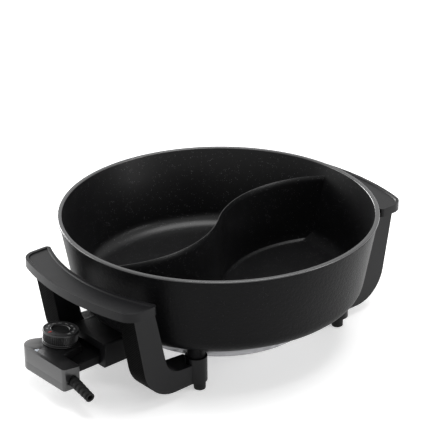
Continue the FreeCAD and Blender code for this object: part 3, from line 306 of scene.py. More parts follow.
def facet(obj):
    """Cut faces of many corners into triangles."""
    enter(obj)
    bpy.ops.mesh.select_all(action="SELECT")
    bpy.ops.mesh.quads_convert_to_tris(quad_method="BEAUTY", ngon_method="BEAUTY")
    leave()


def combine(obj, other, operation):
    """A boolean with another piece, which is used up."""
    apply(obj, "BOOLEAN", operation=operation, object=other, solver="EXACT")
    bpy.data.objects.remove(other)


def bevel(obj, width, steps):
    """Round the sharp edges of a piece."""
    apply(obj, "BEVEL", width=width, segments=steps, limit_method="ANGLE",
          angle_limit=SHARP, use_clamp_overlap=True, harden_normals=False)


def copy_of(node, name, edge=0.0, steps=3):
    """A merged copy of a solid, its flat faces whole and its edges rounded."""
    obj = bpy.data.objects.new(name, frame["nodes"][node].data.copy())
    bpy.context.scene.collection.objects.link(obj)
    obj.matrix_world = Matrix()
    obj.data.materials.clear()
    enter(obj)
    bpy.ops.mesh.select_all(action="SELECT")
    bpy.ops.mesh.remove_doubles(threshold=2e-6)
    bpy.ops.mesh.dissolve_limited(angle_limit=FLAT, delimit={"NORMAL"})
    leave()
    if edge:
        bevel(obj, edge, steps)
    return obj


def finish(obj, material, body, slot, *nodes, smooth=32):
    """Apply transforms, smooth, paint, and put the piece on its body."""
    pick(obj)
    bpy.ops.object.transform_apply(location=True, rotation=True, scale=True)
    bpy.ops.object.shade_smooth_by_angle(angle=math.radians(smooth))
    if material:
        obj.data.materials.clear()
        obj.data.materials.append(material)
    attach(obj, body)
    if nodes:
        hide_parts(*nodes)
    return obj


def join(name, parts):
    """Several meshes made one."""
    pick(parts[0])
    for part in parts:
        part.select_set(True)
    bpy.ops.object.join()
    parts[0].name = name
    return parts[0]


# Materials


def new_group(name, inputs, outputs):
    """An empty node group with named inputs (with defaults) and outputs."""
    group = bpy.data.node_groups.new(name, "ShaderNodeTree")
    for label, kind, default in inputs:
        socket = group.interface.new_socket(label, in_out="INPUT", socket_type=kind)
        if default is not None:
            socket.default_value = default
    for label, kind in outputs:
        group.interface.new_socket(label, in_out="OUTPUT", socket_type=kind)
    start = group.nodes.new("NodeGroupInput")
    end = group.nodes.new("NodeGroupOutput")
    return group, start, end


def math_node(tree, operation, a, b=None):
    """A Math node; each operand is a number or a socket."""
    node = tree.nodes.new("ShaderNodeMath")
    node.operation = operation
    for i, operand in enumerate((a, b)):
        if operand is None:
            continue
        if isinstance(operand, (int, float)):
            node.inputs[i].default_value = operand
        else:
            tree.links.new(operand, node.inputs[i])
    return node.outputs[0]


def noise(tree, vector, scale, detail=3.0, rough=0.5):
    """A noise texture; the scale is a number or a socket."""
    node = tree.nodes.new("ShaderNodeTexNoise")
    node.inputs["Detail"].default_value = detail
    node.inputs["Roughness"].default_value = rough
    tree.links.new(vector, node.inputs["Vector"])
    if isinstance(scale, (int, float)):
        node.inputs["Scale"].default_value = scale
    else:
        tree.links.new(scale, node.inputs["Scale"])
    return node.outputs["Fac"]


def spread(tree, fac, low, high, out_low, out_high):
    """A Map Range from one band of values to another."""
    node = tree.nodes.new("ShaderNodeMapRange")
    tree.links.new(fac, node.inputs["Value"])
    for label, number in (("From Min", low), ("From Max", high),
                          ("To Min", out_low), ("To Max", out_high)):
        node.inputs[label].default_value = number
    return node.outputs["Result"]


def grain_group():
    """Fine moulded or cast grain with slow cloudy changes of gloss."""
    if "Grain" in bpy.data.node_groups:
        return bpy.data.node_groups["Grain"]
    group, start, end = new_group(
        "Grain",
        [("Scale", "NodeSocketFloat", 900.0), ("Gloss change", "NodeSocketFloat", 0.08),
         ("Roughness", "NodeSocketFloat", 0.45)],
        [("Height", "NodeSocketFloat"), ("Roughness", "NodeSocketFloat"),
         ("Cloud", "NodeSocketFloat")])
    place = group.nodes.new("ShaderNodeTexCoord").outputs["Object"]
    fine = noise(group, place, start.outputs["Scale"], 4.0, 0.6)
    cloud = noise(group, place, 14.0, 3.0, 0.55)
    change = math_node(group, "SUBTRACT", cloud, 0.5)
    change = math_node(group, "MULTIPLY", change, start.outputs["Gloss change"])
    rough = math_node(group, "ADD", start.outputs["Roughness"], change)
    group.links.new(fine, end.inputs["Height"])
    group.links.new(rough, end.inputs["Roughness"])
    group.links.new(cloud, end.inputs["Cloud"])
    return group


def speck_group():
    """Scattered pale specks, as in a stone-look coating."""
    if "Specks" in bpy.data.node_groups:
        return bpy.data.node_groups["Specks"]
    group, start, end = new_group(
        "Specks",
        [("Scale", "NodeSocketFloat", 500.0), ("Size", "NodeSocketFloat", 0.2)],
        [("Mask", "NodeSocketFloat")])
    place = group.nodes.new("ShaderNodeTexCoord").outputs["Object"]
    cells = group.nodes.new("ShaderNodeTexVoronoi")
    group.links.new(place, cells.inputs["Vector"])
    group.links.new(start.outputs["Scale"], cells.inputs["Scale"])
    near = math_node(group, "LESS_THAN", cells.outputs["Distance"], start.outputs["Size"])
    pick_some = noise(group, place, 260.0, 2.0, 0.5)
    some = math_node(group, "GREATER_THAN", pick_some, 0.56)
    group.links.new(math_node(group, "MULTIPLY", near, some), end.inputs["Mask"])
    return group


def use_group(tree, group, **values):
    """Place a node group in a material and set its inputs."""
    node = tree.nodes.new("ShaderNodeGroup")
    node.node_tree = group
    for label, setting in values.items():
        node.inputs[label.replace("_", " ")].default_value = setting
    return node


def blank(name, base, roughness=0.5, metallic=0.0):
    """A material with a plain shader; returns it, its tree and its shader."""
    material = bpy.data.materials.new(name)
    material.use_nodes = True
    shader = material.node_tree.nodes["Principled BSDF"]
    shader.inputs["Base Color"].default_value = (*base, 1)
    shader.inputs["Roughness"].default_value = roughness
    shader.inputs["Metallic"].default_value = metallic
    return material, material.node_tree, shader


def two_tone(tree, shader, mask, first, second):
    """Base colour between two colours by a mask."""
    mix = tree.nodes.new("ShaderNodeMix")
    mix.data_type = "RGBA"
    mix.inputs["A"].default_value = (*first, 1)
    mix.inputs["B"].default_value = (*second, 1)
    tree.links.new(mask, mix.inputs["Factor"])
    tree.links.new(mix.outputs["Result"], shader.inputs["Base Color"])


def relief(tree, shader, height, strength, distance):
    """Bump from a height."""
    bump = tree.nodes.new("ShaderNodeBump")
    bump.inputs["Strength"].default_value = strength
    bump.inputs["Distance"].default_value = distance
    tree.links.new(height, bump.inputs["Height"])
    tree.links.new(bump.outputs["Normal"], shader.inputs["Normal"])


def moulded(name, base, roughness, scale=900.0, strength=0.25, change=0.1, lift=1.6,
            shine=0.5):
    """Moulded plastic or rubber: fine grain, cloudy gloss and slightly paler patches."""
    if name in bpy.data.materials:
        return bpy.data.materials[name]
    material, tree, shader = blank(name, base, roughness)
    shader.inputs["Specular IOR Level"].default_value = shine
    grain = use_group(tree, grain_group(), Scale=scale, Gloss_change=change,
                      Roughness=roughness)
    tree.links.new(grain.outputs["Roughness"], shader.inputs["Roughness"])
    two_tone(tree, shader, spread(tree, grain.outputs["Cloud"], 0.35, 0.75, 0, 1),
             base, tuple(min(1, c * lift) for c in base))
    relief(tree, shader, grain.outputs["Height"], strength, 0.0002)
    return material


def coated(name, base, speck, roughness, speck_size, pebble, strength, shine):
    """Cast metal under a stone-look coating, smooth inside and pebbled outside."""
    if name in bpy.data.materials:
        return bpy.data.materials[name]
    material, tree, shader = blank(name, base, roughness)
    shader.inputs["Specular IOR Level"].default_value = shine
    grain = use_group(tree, grain_group(), Scale=pebble, Gloss_change=0.12,
                      Roughness=roughness)
    specks = use_group(tree, speck_group(), Scale=620.0, Size=speck_size)
    tree.links.new(grain.outputs["Roughness"], shader.inputs["Roughness"])
    two_tone(tree, shader, specks.outputs["Mask"], base, speck)
    relief(tree, shader, grain.outputs["Height"], strength, 0.0006)
    return material


def metal(name, base, roughness, along="Z", stretch=60.0):
    """Metal with fine lines left by rolling, drawing or turning."""
    if name in bpy.data.materials:
        return bpy.data.materials[name]
    material, tree, shader = blank(name, base, roughness, 1.0)
    place = tree.nodes.new("ShaderNodeTexCoord").outputs["Object"]
    mapping = tree.nodes.new("ShaderNodeMapping")
    mapping.inputs["Scale"].default_value = [
        stretch if axis == along else 1.0 for axis in "XYZ"]
    tree.links.new(place, mapping.inputs["Vector"])
    lines = noise(tree, mapping.outputs["Vector"], 60.0, 4.0, 0.6)
    tree.links.new(spread(tree, lines, 0.2, 0.8, roughness - 0.1, roughness + 0.12),
                   shader.inputs["Roughness"])
    two_tone(tree, shader, lines, tuple(c * 0.8 for c in base), base)
    relief(tree, shader, lines, 0.15, 0.0001)
    return material


def handle_black():
    """The handles' moulding."""
    s = sizes().handles
    return moulded("handle_moulding", tuple(s.black), 0.34, 1100.0, 0.25, 0.1, shine=0.17)


def ribbed_black():
    """The handles' moulding, darker and nearly unreflecting, with fine ribs across the outer
    side of the legs: the ribs are real, the darker black is painted shade.
    """
    if "leg_ribs" in bpy.data.materials:
        return bpy.data.materials["leg_ribs"]
    material, tree, shader = blank("leg_ribs", (0.001, 0.001, 0.001), 0.5)
    shader.inputs["Specular IOR Level"].default_value = 0.01
    wave = tree.nodes.new("ShaderNodeTexWave")
    wave.bands_direction = "Z"
    wave.inputs["Scale"].default_value = 130.0
    tree.links.new(tree.nodes.new("ShaderNodeTexCoord").outputs["Object"],
                   wave.inputs["Vector"])
    # The ribs' grooves are painted darker than their crests: painted shade.
    two_tone(tree, shader, wave.outputs["Fac"], (0.0006, 0.0006, 0.0006),
             (0.002, 0.002, 0.002))
    relief(tree, shader, wave.outputs["Fac"], 0.6, 0.0004)
    return material


def control_black():
    """The control's glossier housing."""
    s = sizes().control
    return moulded("control_moulding", tuple(s.black), 0.28, 1500.0, 0.12, 0.08, shine=0.9)


def dial_black():
    """The dial's moulding."""
    return moulded("dial_moulding", (0.009, 0.009, 0.0095), 0.36, 1500.0, 0.12, 0.08,
                   shine=0.6)


def guard_black():
    """The dull moulding of the guard and the nose."""
    return moulded("guard_moulding", (0.004, 0.004, 0.0045), 0.45, 1300.0, 0.25, 0.1,
                   shine=0.15)


def soft_black():
    """Soft rubber of the feet and the strain relief."""
    return moulded("soft_rubber", (0.005, 0.005, 0.005), 0.6, 700.0, 0.4, 0.1, shine=0.2)


# Pieces


class HOTPOT_OT_pan(bpy.types.Operator):
    """Turn the pan, spin its S-shaped divider and paint it inside and out"""
    bl_idname = "hotpot.pan"
    bl_label = "Pan and divider"

    def execute(self, context):
        s = sizes().pan
        base_z = RIM_Z - s.depth
        floor_z = base_z + s.floor
        inner = s.base - s.wall
        pan = turn("pan", [
            (0, base_z, 0),
            (s.base, base_z, s.base_round),
            (s.rim - s.lip, RIM_Z - s.bead, 0.3 * MM),
            (s.rim, RIM_Z - s.bead + 0.6 * MM, 0.5 * MM),
            (s.rim, RIM_Z, 1.2 * MM),
            (s.rim - s.lip - s.wall, RIM_Z, 1.2 * MM),
            (inner, floor_z, s.inner_round),
            (0, floor_z, 0)], segments=160, steps=7, centre=(0, AXIS_Y))
        coat, speck = tuple(s.coat), tuple(s.speck)
        outside = coated("pan_outside", coat, speck, 0.44, 0.1, 300.0, 0.8, 0.07)
        inside = coated("pan_inside", coat, speck, 0.3, 0.22, 900.0, 0.12, 0.3)
        # The bead's top faces are painted paler than the coating, as a painted highlight along
        # the rim, on a glossier finish.
        painted_bead_highlight = coated("rim_edge", (0.03, 0.03, 0.031), (0.06, 0.06, 0.06), 0.25, 0.1, 900.0,
                      0.08, 0.8)
        for material in (outside, inside, painted_bead_highlight):
            pan.data.materials.append(material)
        enter(pan, "FACE")

        def faces_in(face):
            middle = face.calc_center_median()
            flat = Vector((middle.x, middle.y - AXIS_Y, 0))
            inward = face.normal.dot(flat) < 0
            return middle.z > floor_z - 0.1 * MM and (inward or face.normal.z > 0.5)

        # Faces near the top of the bead take the painted highlight.
        def on_bead(face):
            return face.calc_center_median().z > RIM_Z - 1.3 * MM

        for slot, test in ((1, faces_in), (2, on_bead)):
            select(pan, test, "faces")
            pan.active_material_index = slot
            bpy.ops.object.material_slot_assign()
        leave()
        divider = self.divider(s, floor_z)
        trim = turn("divider_trim", [
            (0, base_z + s.floor / 2, 0),
            (s.base - s.wall / 2, base_z + s.floor / 2, s.base_round - s.wall / 2),
            (s.rim - s.lip - s.wall / 2, RIM_Z, 0),
            (0, RIM_Z, 0)], segments=160, steps=7, centre=(0, AXIS_Y))
        combine(divider, trim, "INTERSECT")
        divider.data.materials.append(inside)
        under = copy_of("pan_body", "pan_underside", 0.3 * MM, 2)
        self.keep_underside(under, base_z)
        finish(under, outside, "pot", "cast_black")
        finish(divider, None, "pot", "cast_black")
        finish(pan, None, "pot", "cast_black", "pan_body")
        return {"FINISHED"}

    def divider(self, s, floor_z):
        """Spin a flared section round the two arcs, then trim it to the wall."""
        top = RIM_Z - s.drop
        half_chord = Vector((s.slip, -s.reach, 0)) / 2
        across = Vector((half_chord.y, -half_chord.x, 0)).normalized()
        back = math.sqrt(s.bow ** 2 - half_chord.length ** 2)
        near = Vector((0, AXIS_Y, 0)) + half_chord + across * back
        far = Vector((0, AXIS_Y, 0)) - half_chord - across * back
        spread_angle = 2 * math.asin(half_chord.length / s.bow)
        bpy.ops.object.select_all(action="DESELECT")
        rows = 22
        bpy.ops.mesh.primitive_grid_add(
            x_subdivisions=2, y_subdivisions=rows, size=1,
            location=(0, AXIS_Y, 0), rotation=(math.pi / 2, 0, 0))
        obj = bpy.context.object
        obj.name = "divider"
        low = floor_z - 1.5 * MM
        tall = top - low
        obj.scale = (s.width, tall, 1)
        obj.location.z = low + tall / 2
        bpy.ops.object.transform_apply(location=True, rotation=True, scale=True)
        enter(obj)
        levels = sorted({round(v.co.z, 6) for v in bmesh.from_edit_mesh(obj.data).verts})
        flare, crown = DIVIDER_FLARE, s.width / 2
        for level in levels:
            height = max(level - floor_z, 0)
            wide = s.width / 2 + (top - level) * math.tan(DIVIDER_DRAFT)
            if height < flare:
                wide += flare - math.sqrt(flare ** 2 - (flare - height) ** 2)
            if top - level < crown:
                wide *= math.sqrt(max(1 - ((crown - (top - level)) / crown) ** 2, 0.04))
            select(obj, lambda v: abs(v.co.z - level) < 1e-5)
            bpy.ops.transform.resize(value=(wide / (s.width / 2), 1, 1),
                                     center_override=(0, AXIS_Y, level))
        leave()
        return self.spin_s(obj, near, far, spread_angle)

    def spin_s(self, obj, near, far, angle):
        """Spin the section to both sides of the pan's centre."""
        middle = Vector((0, AXIS_Y, 0))
        tilt = math.atan2(near.y - middle.y, near.x - middle.x) - math.pi
        obj.data.transform(Matrix.Translation(middle) @ Matrix.Rotation(tilt, 4, "Z")
                           @ Matrix.Translation(-middle))
        other = bpy.data.objects.new("divider_far", obj.data.copy())
        bpy.context.scene.collection.objects.link(other)
        for piece, centre in ((obj, near), (other, far)):
            enter(piece)
            bpy.ops.mesh.select_all(action="SELECT")
            bpy.ops.mesh.spin(steps=44, angle=angle, center=centre, axis=(0, 0, 1))
            leave()
        whole = join("divider", [obj, other])
        tidy(whole)
        return whole

    def keep_underside(self, obj, base_z):
        """Keep the bosses, rib, posts and lug below the pan's floor."""
        enter(obj)
        bpy.ops.mesh.select_all(action="SELECT")
        bpy.ops.mesh.bisect(plane_co=(0, 0, base_z + 0.5 * MM), plane_no=(0, 0, 1),
                            clear_outer=True, use_fill=True)
        leave()
        tidy(obj)


class HOTPOT_OT_handles(bpy.types.Operator):
    """Model one handle, set its copy across the pan, and dress the feet"""
    bl_idname = "hotpot.handles"
    bl_label = "Handles and feet"

    def execute(self, context):
        s = sizes().handles
        front = self.plate(s)
        for side in (1, -1):
            combine(front, self.leg(s, side), "UNION")
        for side in (1, -1):
            combine(front, self.collar(s, side), "UNION")
        self.bores(front, s)
        bevel(front, s.edge, 3)
        front.data.materials.append(handle_black())
        # Second slot: the ribbed moulding with painted shade, for the legs' outer faces.
        front.data.materials.append(ribbed_black())
        self.paint_fronts(front, s)
        rear = bpy.data.objects.new("rear_handle_moulding", front.data.copy())
        bpy.context.scene.collection.objects.link(rear)
        for obj, turned, end in ((front, 0, "front"), (rear, math.pi, "rear")):
            obj.matrix_world = (Matrix.Translation((0, AXIS_Y, 0))
                                @ Matrix.Rotation(turned, 4, "Z"))
            finish(obj, None, "pot", "handle_black", end + "_handle")
            for side in ("left", "right"):
                node = "%s_%s_foot" % (end, side)
                foot = copy_of(node, node + "_pad", 0.5 * MM, 2)
                finish(foot, soft_black(), "pot", "foot_rubber", node)
        return {"FINISHED"}

    def plate(self, s):
        """The bowed plate: outline with round corners, raised and dished."""

        def edge(across, middle, bow):
            return -(middle - bow + math.sqrt(bow ** 2 - across ** 2))

        outer = [(x * s.half * 0.078, edge(x * s.half * 0.078, s.outer, s.outer_bow), 0)
                 for x in range(-10, 11)]
        inner = [(x * s.half * 0.092, edge(x * s.half * 0.092, s.inner, s.inner_bow), 0)
                 for x in range(10, -11, -1)]
        far = (edge(s.half, s.outer, s.outer_bow), edge(s.half, s.inner, s.inner_bow))
        outline = rounded([
            *outer, (s.half, far[0], s.corner), (s.half, far[1], PLATE_INNER_ROUND),
            *inner, (-s.half, far[1], PLATE_INNER_ROUND), (-s.half, far[0], s.corner)], 9)
        plate = slab("front_handle_moulding", outline, s.thick)
        enter(plate, "FACE")
        select(plate, lambda f: f.normal.z > 0.9, "faces")
        bpy.ops.mesh.inset(thickness=PLATE_RIM, depth=0)
        bpy.ops.mesh.inset(thickness=PLATE_DISH_EDGE, depth=-PLATE_DISH)
        leave()
        facet(plate)
        plate.data.transform(Matrix.Translation((s.shift, 0, s.top - s.thick)))
        return plate

    def leg(self, s, side):
        """One J-shaped leg, its head run back to the plate's inner edge."""
        outline = rounded([
            (LEG_TOP_OUTER, LEG_TOP, 0),
            (LEG_HEEL, s.collar_low, LEG_HEEL_ROUND),
            (s.collar_y, s.collar_low, 0),
            (s.collar_y, LEG_FOOT_TOP, 0),
            (*LEG_CROOK, LEG_CROOK_ROUND),
            (LEG_TOP_INNER, LEG_TOP, 0)], 12)
        leg = slab("leg", outline, s.leg_width)
        middle = s.leg_start + s.leg_width / 2
        leg.data.transform(Matrix(((0, 0, 1, s.shift + side * middle - s.leg_width / 2),
                                   (-1, 0, 0, 0), (0, 1, 0, 0), (0, 0, 0, 1))))
        tidy(leg)
        bpy.ops.object.select_all(action="DESELECT")
        bpy.ops.mesh.primitive_cone_add(
            vertices=256, radius1=s.inner_bow - FADE_LOW, radius2=s.inner_bow - FADE_HIGH,
            depth=FADE_HEIGHT, location=(s.shift, s.inner_bow - s.inner, FADE_MIDDLE))
        fade = bpy.context.object
        combine(leg, fade, "DIFFERENCE")
        return leg

    def collar(self, s, side):
        """The round collar on a foot."""
        bpy.ops.object.select_all(action="DESELECT")
        tall = s.collar_top - s.collar_low
        bpy.ops.mesh.primitive_cylinder_add(
            vertices=64, radius=s.collar, depth=tall,
            location=(side * s.collar_x, -s.collar_y, s.collar_low + tall / 2))
        collar = bpy.context.object
        enter(collar, "FACE")
        select(collar, lambda f: f.normal.z > 0.9, "faces")
        bpy.ops.mesh.inset(thickness=1.4 * MM, depth=0)
        bpy.ops.mesh.extrude_region_move(TRANSFORM_OT_translate={"value": (0, 0, -1.2 * MM)})
        leave()
        return collar

    def bores(self, handle, s):
        """Room for the pan's bosses, the feet's stems and the screws."""
        for x, y, low, high, radius in (
                (s.collar_x, s.collar_y, s.collar_top - 1.3 * MM, s.collar_top + 1 * MM,
                 BOSS_RADIUS),
                (STEM_X, STEM_Y, 0, STEM_TOP, STEM_RADIUS),
                (STEM_X, STEM_Y, SCREW_LOW, SCREW_TOP, SCREW_RADIUS)):
            for side in (1, -1):
                bpy.ops.object.select_all(action="DESELECT")
                bpy.ops.mesh.primitive_cylinder_add(
                    vertices=48, radius=radius, depth=high - low,
                    location=(side * x, -y, (low + high) / 2))
                bore = bpy.context.object
                combine(handle, bore, "DIFFERENCE")

    def paint_fronts(self, handle, s):
        """The ribbed finish, painted darker as painted shade, goes on the outer faces of the
        legs.
        """
        enter(handle, "FACE")

        def outward(face):
            middle = face.calc_center_median()
            across = abs(middle.x - s.shift) - s.leg_start
            within = RIBBED_MARGIN < across < s.leg_width - RIBBED_MARGIN
            low = face.normal.z < -0.3 and -middle.y > RIBBED_UNDER
            faces_out = abs(face.normal.x) < 0.2 and (-face.normal.y > 0.35 or low)
            return within and middle.z < RIBBED_TOP and faces_out

        select(handle, outward, "faces")
        handle.active_material_index = 1
        bpy.ops.object.material_slot_assign()
        leave()


class HOTPOT_OT_socket(bpy.types.Operator):
    """Round the socket guard and smooth the base cover"""
    bl_idname = "hotpot.socket"
    bl_label = "Socket and base"

    def execute(self, context):
        guard = copy_of("socket_guard", "guard_moulding", 0.6 * MM, 3)
        finish(guard, guard_black(), "pot", "guard_black", "socket_guard")
        cover = copy_of("base_cover", "cover_pressing", 0.0)
        finish(cover, metal("cover_steel", (0.3, 0.3, 0.31), 0.35, "Z", 8.0), "pot",
               "cover_sheet", "base_cover")
        return {"FINISHED"}


def dial_place():
    """The dial's frame: its axis leans with the housing's roof."""
    joint = [j for j in frame["joints"] if j["name"] == "dial"][0]
    axis = Vector(joint["axis"]).normalized()
    turn_to = Vector((0, 0, 1)).rotation_difference(axis)
    return Matrix.Translation(Vector(joint["pos_m"])) @ turn_to.to_matrix().to_4x4()


class HOTPOT_OT_dial(bpy.types.Operator):
    """Turn the knob, raise its grip ribs and set the numbers on its ring"""
    bl_idname = "hotpot.dial"
    bl_label = "Dial"

    def execute(self, context):
        s = sizes().control
        r, top = s.knob, s.knob_height
        side = r - 1.5 * MM
        ring_out, ring_in = r - 1.6 * MM, r - 8.3 * MM
        knob = turn("knob", [
            (0, 0.5 * MM, 0),
            (r, 0.5 * MM, 0.3 * MM),
            (r, 1.8 * MM, 0.4 * MM),
            (side, 2.1 * MM, 0),
            (r, 2.4 * MM, 0.4 * MM),
            (r, 3.7 * MM, 0.4 * MM),
            (side, 4.0 * MM, 0),
            (side, top - 3.2 * MM, 0),
            (r, top - 2.7 * MM, 0.3 * MM),
            (r, top, 0.9 * MM),
            (ring_out, top, 0.3 * MM),
            (ring_out, top - 0.5 * MM, 0),
            (ring_in, top - 0.5 * MM, 0),
            (ring_in, top, 0.3 * MM),
            (ring_in - 1.1 * MM, top, 0.3 * MM),
            (ring_in - 1.6 * MM, top - 0.8 * MM, 0.3 * MM),
            (0, top - 0.8 * MM, 0)], segments=s.ribs * 4, steps=3)
        enter(knob)
        ribs = s.ribs

        def on_rib(v):
            place = (math.atan2(v.co.y, v.co.x) / (2 * math.pi) * ribs) % 1
            flank = 3.9 * MM < v.co.z < top - 3.1 * MM
            return flank and (place < 0.3 or place > 0.95) and v.co.xy.length > side - 0.2 * MM

        select(knob, on_rib)
        bpy.ops.transform.resize(value=((side + 0.8 * MM) / side,) * 2 + (1,),
                                 center_override=(0, 0, 0))
        leave()
        knob.matrix_world = dial_place()
        finish(knob, dial_black(), "dial", "dial_black", "dial_knob", smooth=28)
        self.ring(s, ring_in, ring_out, top)
        return {"FINISHED"}

    def ring(self, s, ring_in, ring_out, top):
        """The dark ring with its numbers, going clockwise from the red mark."""
        low = top - 0.6 * MM
        ring = turn("number_ring", [
            (ring_in + 0.1 * MM, low, 0), (ring_out - 0.1 * MM, low, 0),
            (ring_out - 0.1 * MM, low + 0.2 * MM, 0), (ring_in + 0.1 * MM, low + 0.2 * MM, 0),
            (ring_in + 0.1 * MM, low, 0)], segments=96)
        ring.matrix_world = dial_place()
        dark = moulded("ring_print", (0.02, 0.02, 0.021), 0.5, 1800.0, 0.1, 0.06)
        finish(ring, dark, "dial", "dial_ring", "dial_scale_ring")
        pale = moulded("number_print", tuple(s.print_colour), 0.6, 2000.0, 0.05, 0.05, 1.1)
        middle = (ring_in + ring_out) / 2
        numbers = [str(n) for n in range(FIRST_NUMBER, LAST_NUMBER + 1, NUMBER_STEP)]
        parts = []
        for i, number in enumerate(numbers):
            angle = -math.pi / 2 - math.radians(FIRST_NUMBER_ANGLE + NUMBER_ANGLE * i)
            bpy.ops.object.select_all(action="DESELECT")
            bpy.ops.object.text_add(location=(0, 0, 0))
            text = bpy.context.object
            text.data.body = number
            text.data.size = s.digits
            text.data.align_x = "CENTER"
            text.data.align_y = "CENTER"
            text.data.extrude = 0.05 * MM
            bpy.ops.object.convert(target="MESH")
            text = bpy.context.object
            text.data.transform(Matrix.Translation(
                (middle * math.cos(angle), middle * math.sin(angle), low + 0.25 * MM))
                @ Matrix.Rotation(angle + math.pi / 2, 4, "Z"))
            parts.append(text)
        digits = join("dial_numbers", parts)
        digits.matrix_world = dial_place()
        finish(digits, pale, "dial", "dial_ring")
        red = moulded("mark_print", tuple(s.mark), 0.5, 2000.0, 0.05, 0.05, 1.1)
        bpy.ops.object.select_all(action="DESELECT")
        bpy.ops.mesh.primitive_cylinder_add(vertices=24, radius=1.1 * MM, depth=0.2 * MM,
                                            location=(0, -middle, low + 0.3 * MM))
        mark = bpy.context.object
        mark.name = "dial_mark"
        enter(mark)
        bpy.ops.mesh.select_all(action="SELECT")
        bpy.ops.transform.resize(value=(0.8, 2.1, 1), center_override=(0, -middle, low))
        leave()
        pick(mark)
        bpy.ops.object.transform_apply(location=True, rotation=True, scale=True)
        mark.matrix_world = dial_place()
        finish(mark, red, "dial", "dial_ring")


class HOTPOT_OT_control(bpy.types.Operator):
    """Round the control's shells and nose, and dress the relief and pointer"""
    bl_idname = "hotpot.control"
    bl_label = "Control"

    def execute(self, context):
        for node, name, edge in (("control_top_shell", "control_roof", 1.0 * MM),
                                 ("control_bottom_shell", "control_tray", 0.8 * MM)):
            shell = copy_of(node, name, edge, 3)
            finish(shell, control_black(), "control", "control_black", node)
        nose = copy_of("nose_block", "nose_moulding", 0.5 * MM, 2)
        finish(nose, guard_black(), "control", "nose_black", "nose_block")
        relief_piece = copy_of("strain_relief", "relief_sleeve", 0.3 * MM, 2)
        finish(relief_piece, soft_black(), "control", "relief_rubber", "strain_relief")
        lens, tree, shader = blank("pointer_lens", (0.72, 0.78, 0.86), 0.12)
        haze = noise(tree, tree.nodes.new("ShaderNodeTexCoord").outputs["Object"], 900.0)
        two_tone(tree, shader, haze, (0.66, 0.73, 0.82), (0.8, 0.84, 0.9))
        pointer = copy_of("indicator_lens", "pointer", 0.25 * MM, 2)
        finish(pointer, lens, "control", "lens_clear", "indicator_lens")
        return {"FINISHED"}


class HOTPOT_OT_inner(bpy.types.Operator):
    """Give the metal, ceramic and hidden pieces their finishes"""
    bl_idname = "hotpot.inner"
    bl_label = "Metal and inner pieces"

    def execute(self, context):
        steel = metal("screw_steel_finish", (0.45, 0.45, 0.46), 0.32)
        tube = metal("element_tube_finish", (0.2, 0.19, 0.185), 0.5, "Z", 3.0)
        bright = metal("probe_finish", (0.55, 0.55, 0.56), 0.2, "Y", 40.0)
        brass = metal("brass_finish", (0.62, 0.42, 0.14), 0.3, "Y", 20.0)
        ceramic = moulded("ceramic_finish", (0.7, 0.67, 0.6), 0.25, 500.0, 0.1, 0.05, 1.15)
        lamp = moulded("lamp_finish", (0.8, 0.42, 0.25), 0.1, 500.0, 0.03, 0.02, 1.1)
        finishes = {
            "heating_element": tube, "left_pin": bright, "right_pin": bright,
            "left_pin_bush": ceramic, "right_pin_bush": ceramic,
            "left_receptacle": brass, "right_receptacle": brass,
            "base_cover_screws": steel, "socket_guard_screws": steel,
            "handle_screws": steel, "shell_screws": steel, "neon_lamp": lamp,
            "probe_tube": bright, "thermostat_frame": steel, "lower_insulator": ceramic,
            "upper_insulator": ceramic, "contact_blade": brass, "bimetal_blade": brass,
            "shaft_bush": brass, "adjusting_shaft": bright,
        }
        for node, material in finishes.items():
            mesh = frame["nodes"][node].data
            mesh.materials.clear()
            mesh.materials.append(material)
        return {"FINISHED"}


def seen_directly(tree):
    """1 for what the camera sees, also in a mirror or through glass, else 0."""
    path = tree.nodes.new("ShaderNodeLightPath")
    seen = math_node(tree, "MAXIMUM", path.outputs["Is Camera Ray"],
                     path.outputs["Is Glossy Ray"])
    return math_node(tree, "MAXIMUM", seen, path.outputs["Is Transmission Ray"])


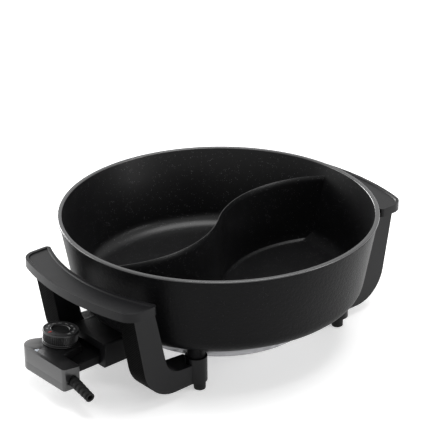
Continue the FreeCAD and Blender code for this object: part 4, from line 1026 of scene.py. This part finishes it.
class HOTPOT_OT_stage(bpy.types.Operator):
    """Lay the pale floor, hang the soft lamps and set the camera"""
    bl_idname = "hotpot.stage"
    bl_label = "Floor, lamps and camera"

    def execute(self, context):
        s = sizes().stage
        self.camera(s)
        self.floor(s)
        for name, place, wide, power in LAMPS:
            self.lamp(name, Vector(place), wide, power)
        self.world()
        return {"FINISHED"}

    def camera(self, s):
        """The camera circles the middle of the rim."""
        target = Vector((0, AXIS_Y, RIM_Z))
        back = Vector((math.sin(s.turn) * math.cos(s.rise),
                       -math.cos(s.turn) * math.cos(s.rise), math.sin(s.rise)))
        right = Vector((math.cos(s.turn), math.sin(s.turn), 0))
        up = back.cross(right)
        right, up = (right * math.cos(s.roll) + up * math.sin(s.roll),
                     up * math.cos(s.roll) - right * math.sin(s.roll))
        data = bpy.data.cameras.new("camera")
        data.lens = s.lens
        data.sensor_width = SENSOR_WIDTH
        data.shift_x, data.shift_y = CAMERA_SHIFT
        data.clip_end = 20
        camera = bpy.data.objects.new("camera", data)
        bpy.context.scene.collection.objects.link(camera)
        turned = Matrix((right, up, back)).transposed().to_4x4()
        camera.matrix_world = Matrix.Translation(target + back * s.distance) @ turned
        bpy.context.scene.camera = camera

    def floor(self, s):
        """A pale floor that glows a little where it is seen directly."""
        bpy.ops.object.select_all(action="DESELECT")
        bpy.ops.mesh.primitive_plane_add(size=14, location=(0, 0, 0))
        floor = bpy.context.object
        floor.name = "floor"
        material, tree, shader = blank("floor_paper", tuple(s.floor), 0.8)
        output = tree.nodes["Material Output"]
        glow = tree.nodes.new("ShaderNodeEmission")
        glow.inputs["Strength"].default_value = 0.62
        mix = tree.nodes.new("ShaderNodeMixShader")
        seen = math_node(tree, "MULTIPLY", seen_directly(tree), 0.7)
        tree.links.new(seen, mix.inputs["Fac"])
        add = tree.nodes.new("ShaderNodeAddShader")
        tree.links.new(shader.outputs[0], mix.inputs[1])
        tree.links.new(glow.outputs[0], add.inputs[0])
        tree.links.new(shader.outputs[0], add.inputs[1])
        tree.links.new(add.outputs[0], mix.inputs[2])
        tree.links.new(mix.outputs[0], output.inputs["Surface"])
        floor.data.materials.append(material)

    def lamp(self, name, place, wide, power):
        """A round soft lamp turned towards the pot."""
        data = bpy.data.lights.new(name, "AREA")
        data.shape = "DISK"
        data.size = wide
        data.energy = power
        lamp = bpy.data.objects.new(name, data)
        bpy.context.scene.collection.objects.link(lamp)
        lamp.location = place
        aim = LAMP_AIM - place
        lamp.rotation_euler = aim.to_track_quat("-Z", "Y").to_euler()

    def world(self):
        """A white world, brighter where it is seen directly."""
        world = bpy.data.worlds.new("studio")
        bpy.context.scene.world = world
        world.use_nodes = True
        tree = world.node_tree
        background = tree.nodes["Background"]
        bright = math_node(tree, "MULTIPLY", seen_directly(tree), 0.6)
        tree.links.new(math_node(tree, "ADD", bright, 0.4), background.inputs["Strength"])
        background.inputs["Color"].default_value = (1, 1, 1, 1)
        bpy.context.scene.view_settings.view_transform = "Standard"


class HotPotSizes(bpy.types.PropertyGroup):
    pan: PointerProperty(type=PanSizes)
    handles: PointerProperty(type=HandleSizes)
    control: PointerProperty(type=ControlSizes)
    stage: PointerProperty(type=StageSizes)


class HOTPOT_PT_panel(bpy.types.Panel):
    """Lists the pieces in the sidebar"""
    bl_label = "Hot pot"
    bl_space_type = "VIEW_3D"
    bl_region_type = "UI"
    bl_category = "Hot pot"

    def draw(self, context):
        for piece in PIECES:
            self.layout.operator(piece.bl_idname)


PIECES = (HOTPOT_OT_stage, HOTPOT_OT_pan, HOTPOT_OT_handles, HOTPOT_OT_socket,
          HOTPOT_OT_control, HOTPOT_OT_dial, HOTPOT_OT_inner)
CLASSES = (PanSizes, ControlSizes, HandleSizes, StageSizes, HotPotSizes,
           *PIECES, HOTPOT_PT_panel)


def register():
    """Register the classes and the scene's sizes."""
    for kind in CLASSES:
        bpy.utils.register_class(kind)
    bpy.types.Scene.hot_pot = PointerProperty(type=HotPotSizes)


def unregister():
    """Take the sizes and classes away again."""
    del bpy.types.Scene.hot_pot
    for kind in reversed(CLASSES):
        bpy.utils.unregister_class(kind)


def main():
    """Make every piece in order."""
    register()
    bpy.ops.hotpot.stage()
    bpy.ops.hotpot.pan()
    bpy.ops.hotpot.handles()
    bpy.ops.hotpot.socket()
    bpy.ops.hotpot.control()
    bpy.ops.hotpot.dial()
    bpy.ops.hotpot.inner()


if __name__ == "__main__":
    main()
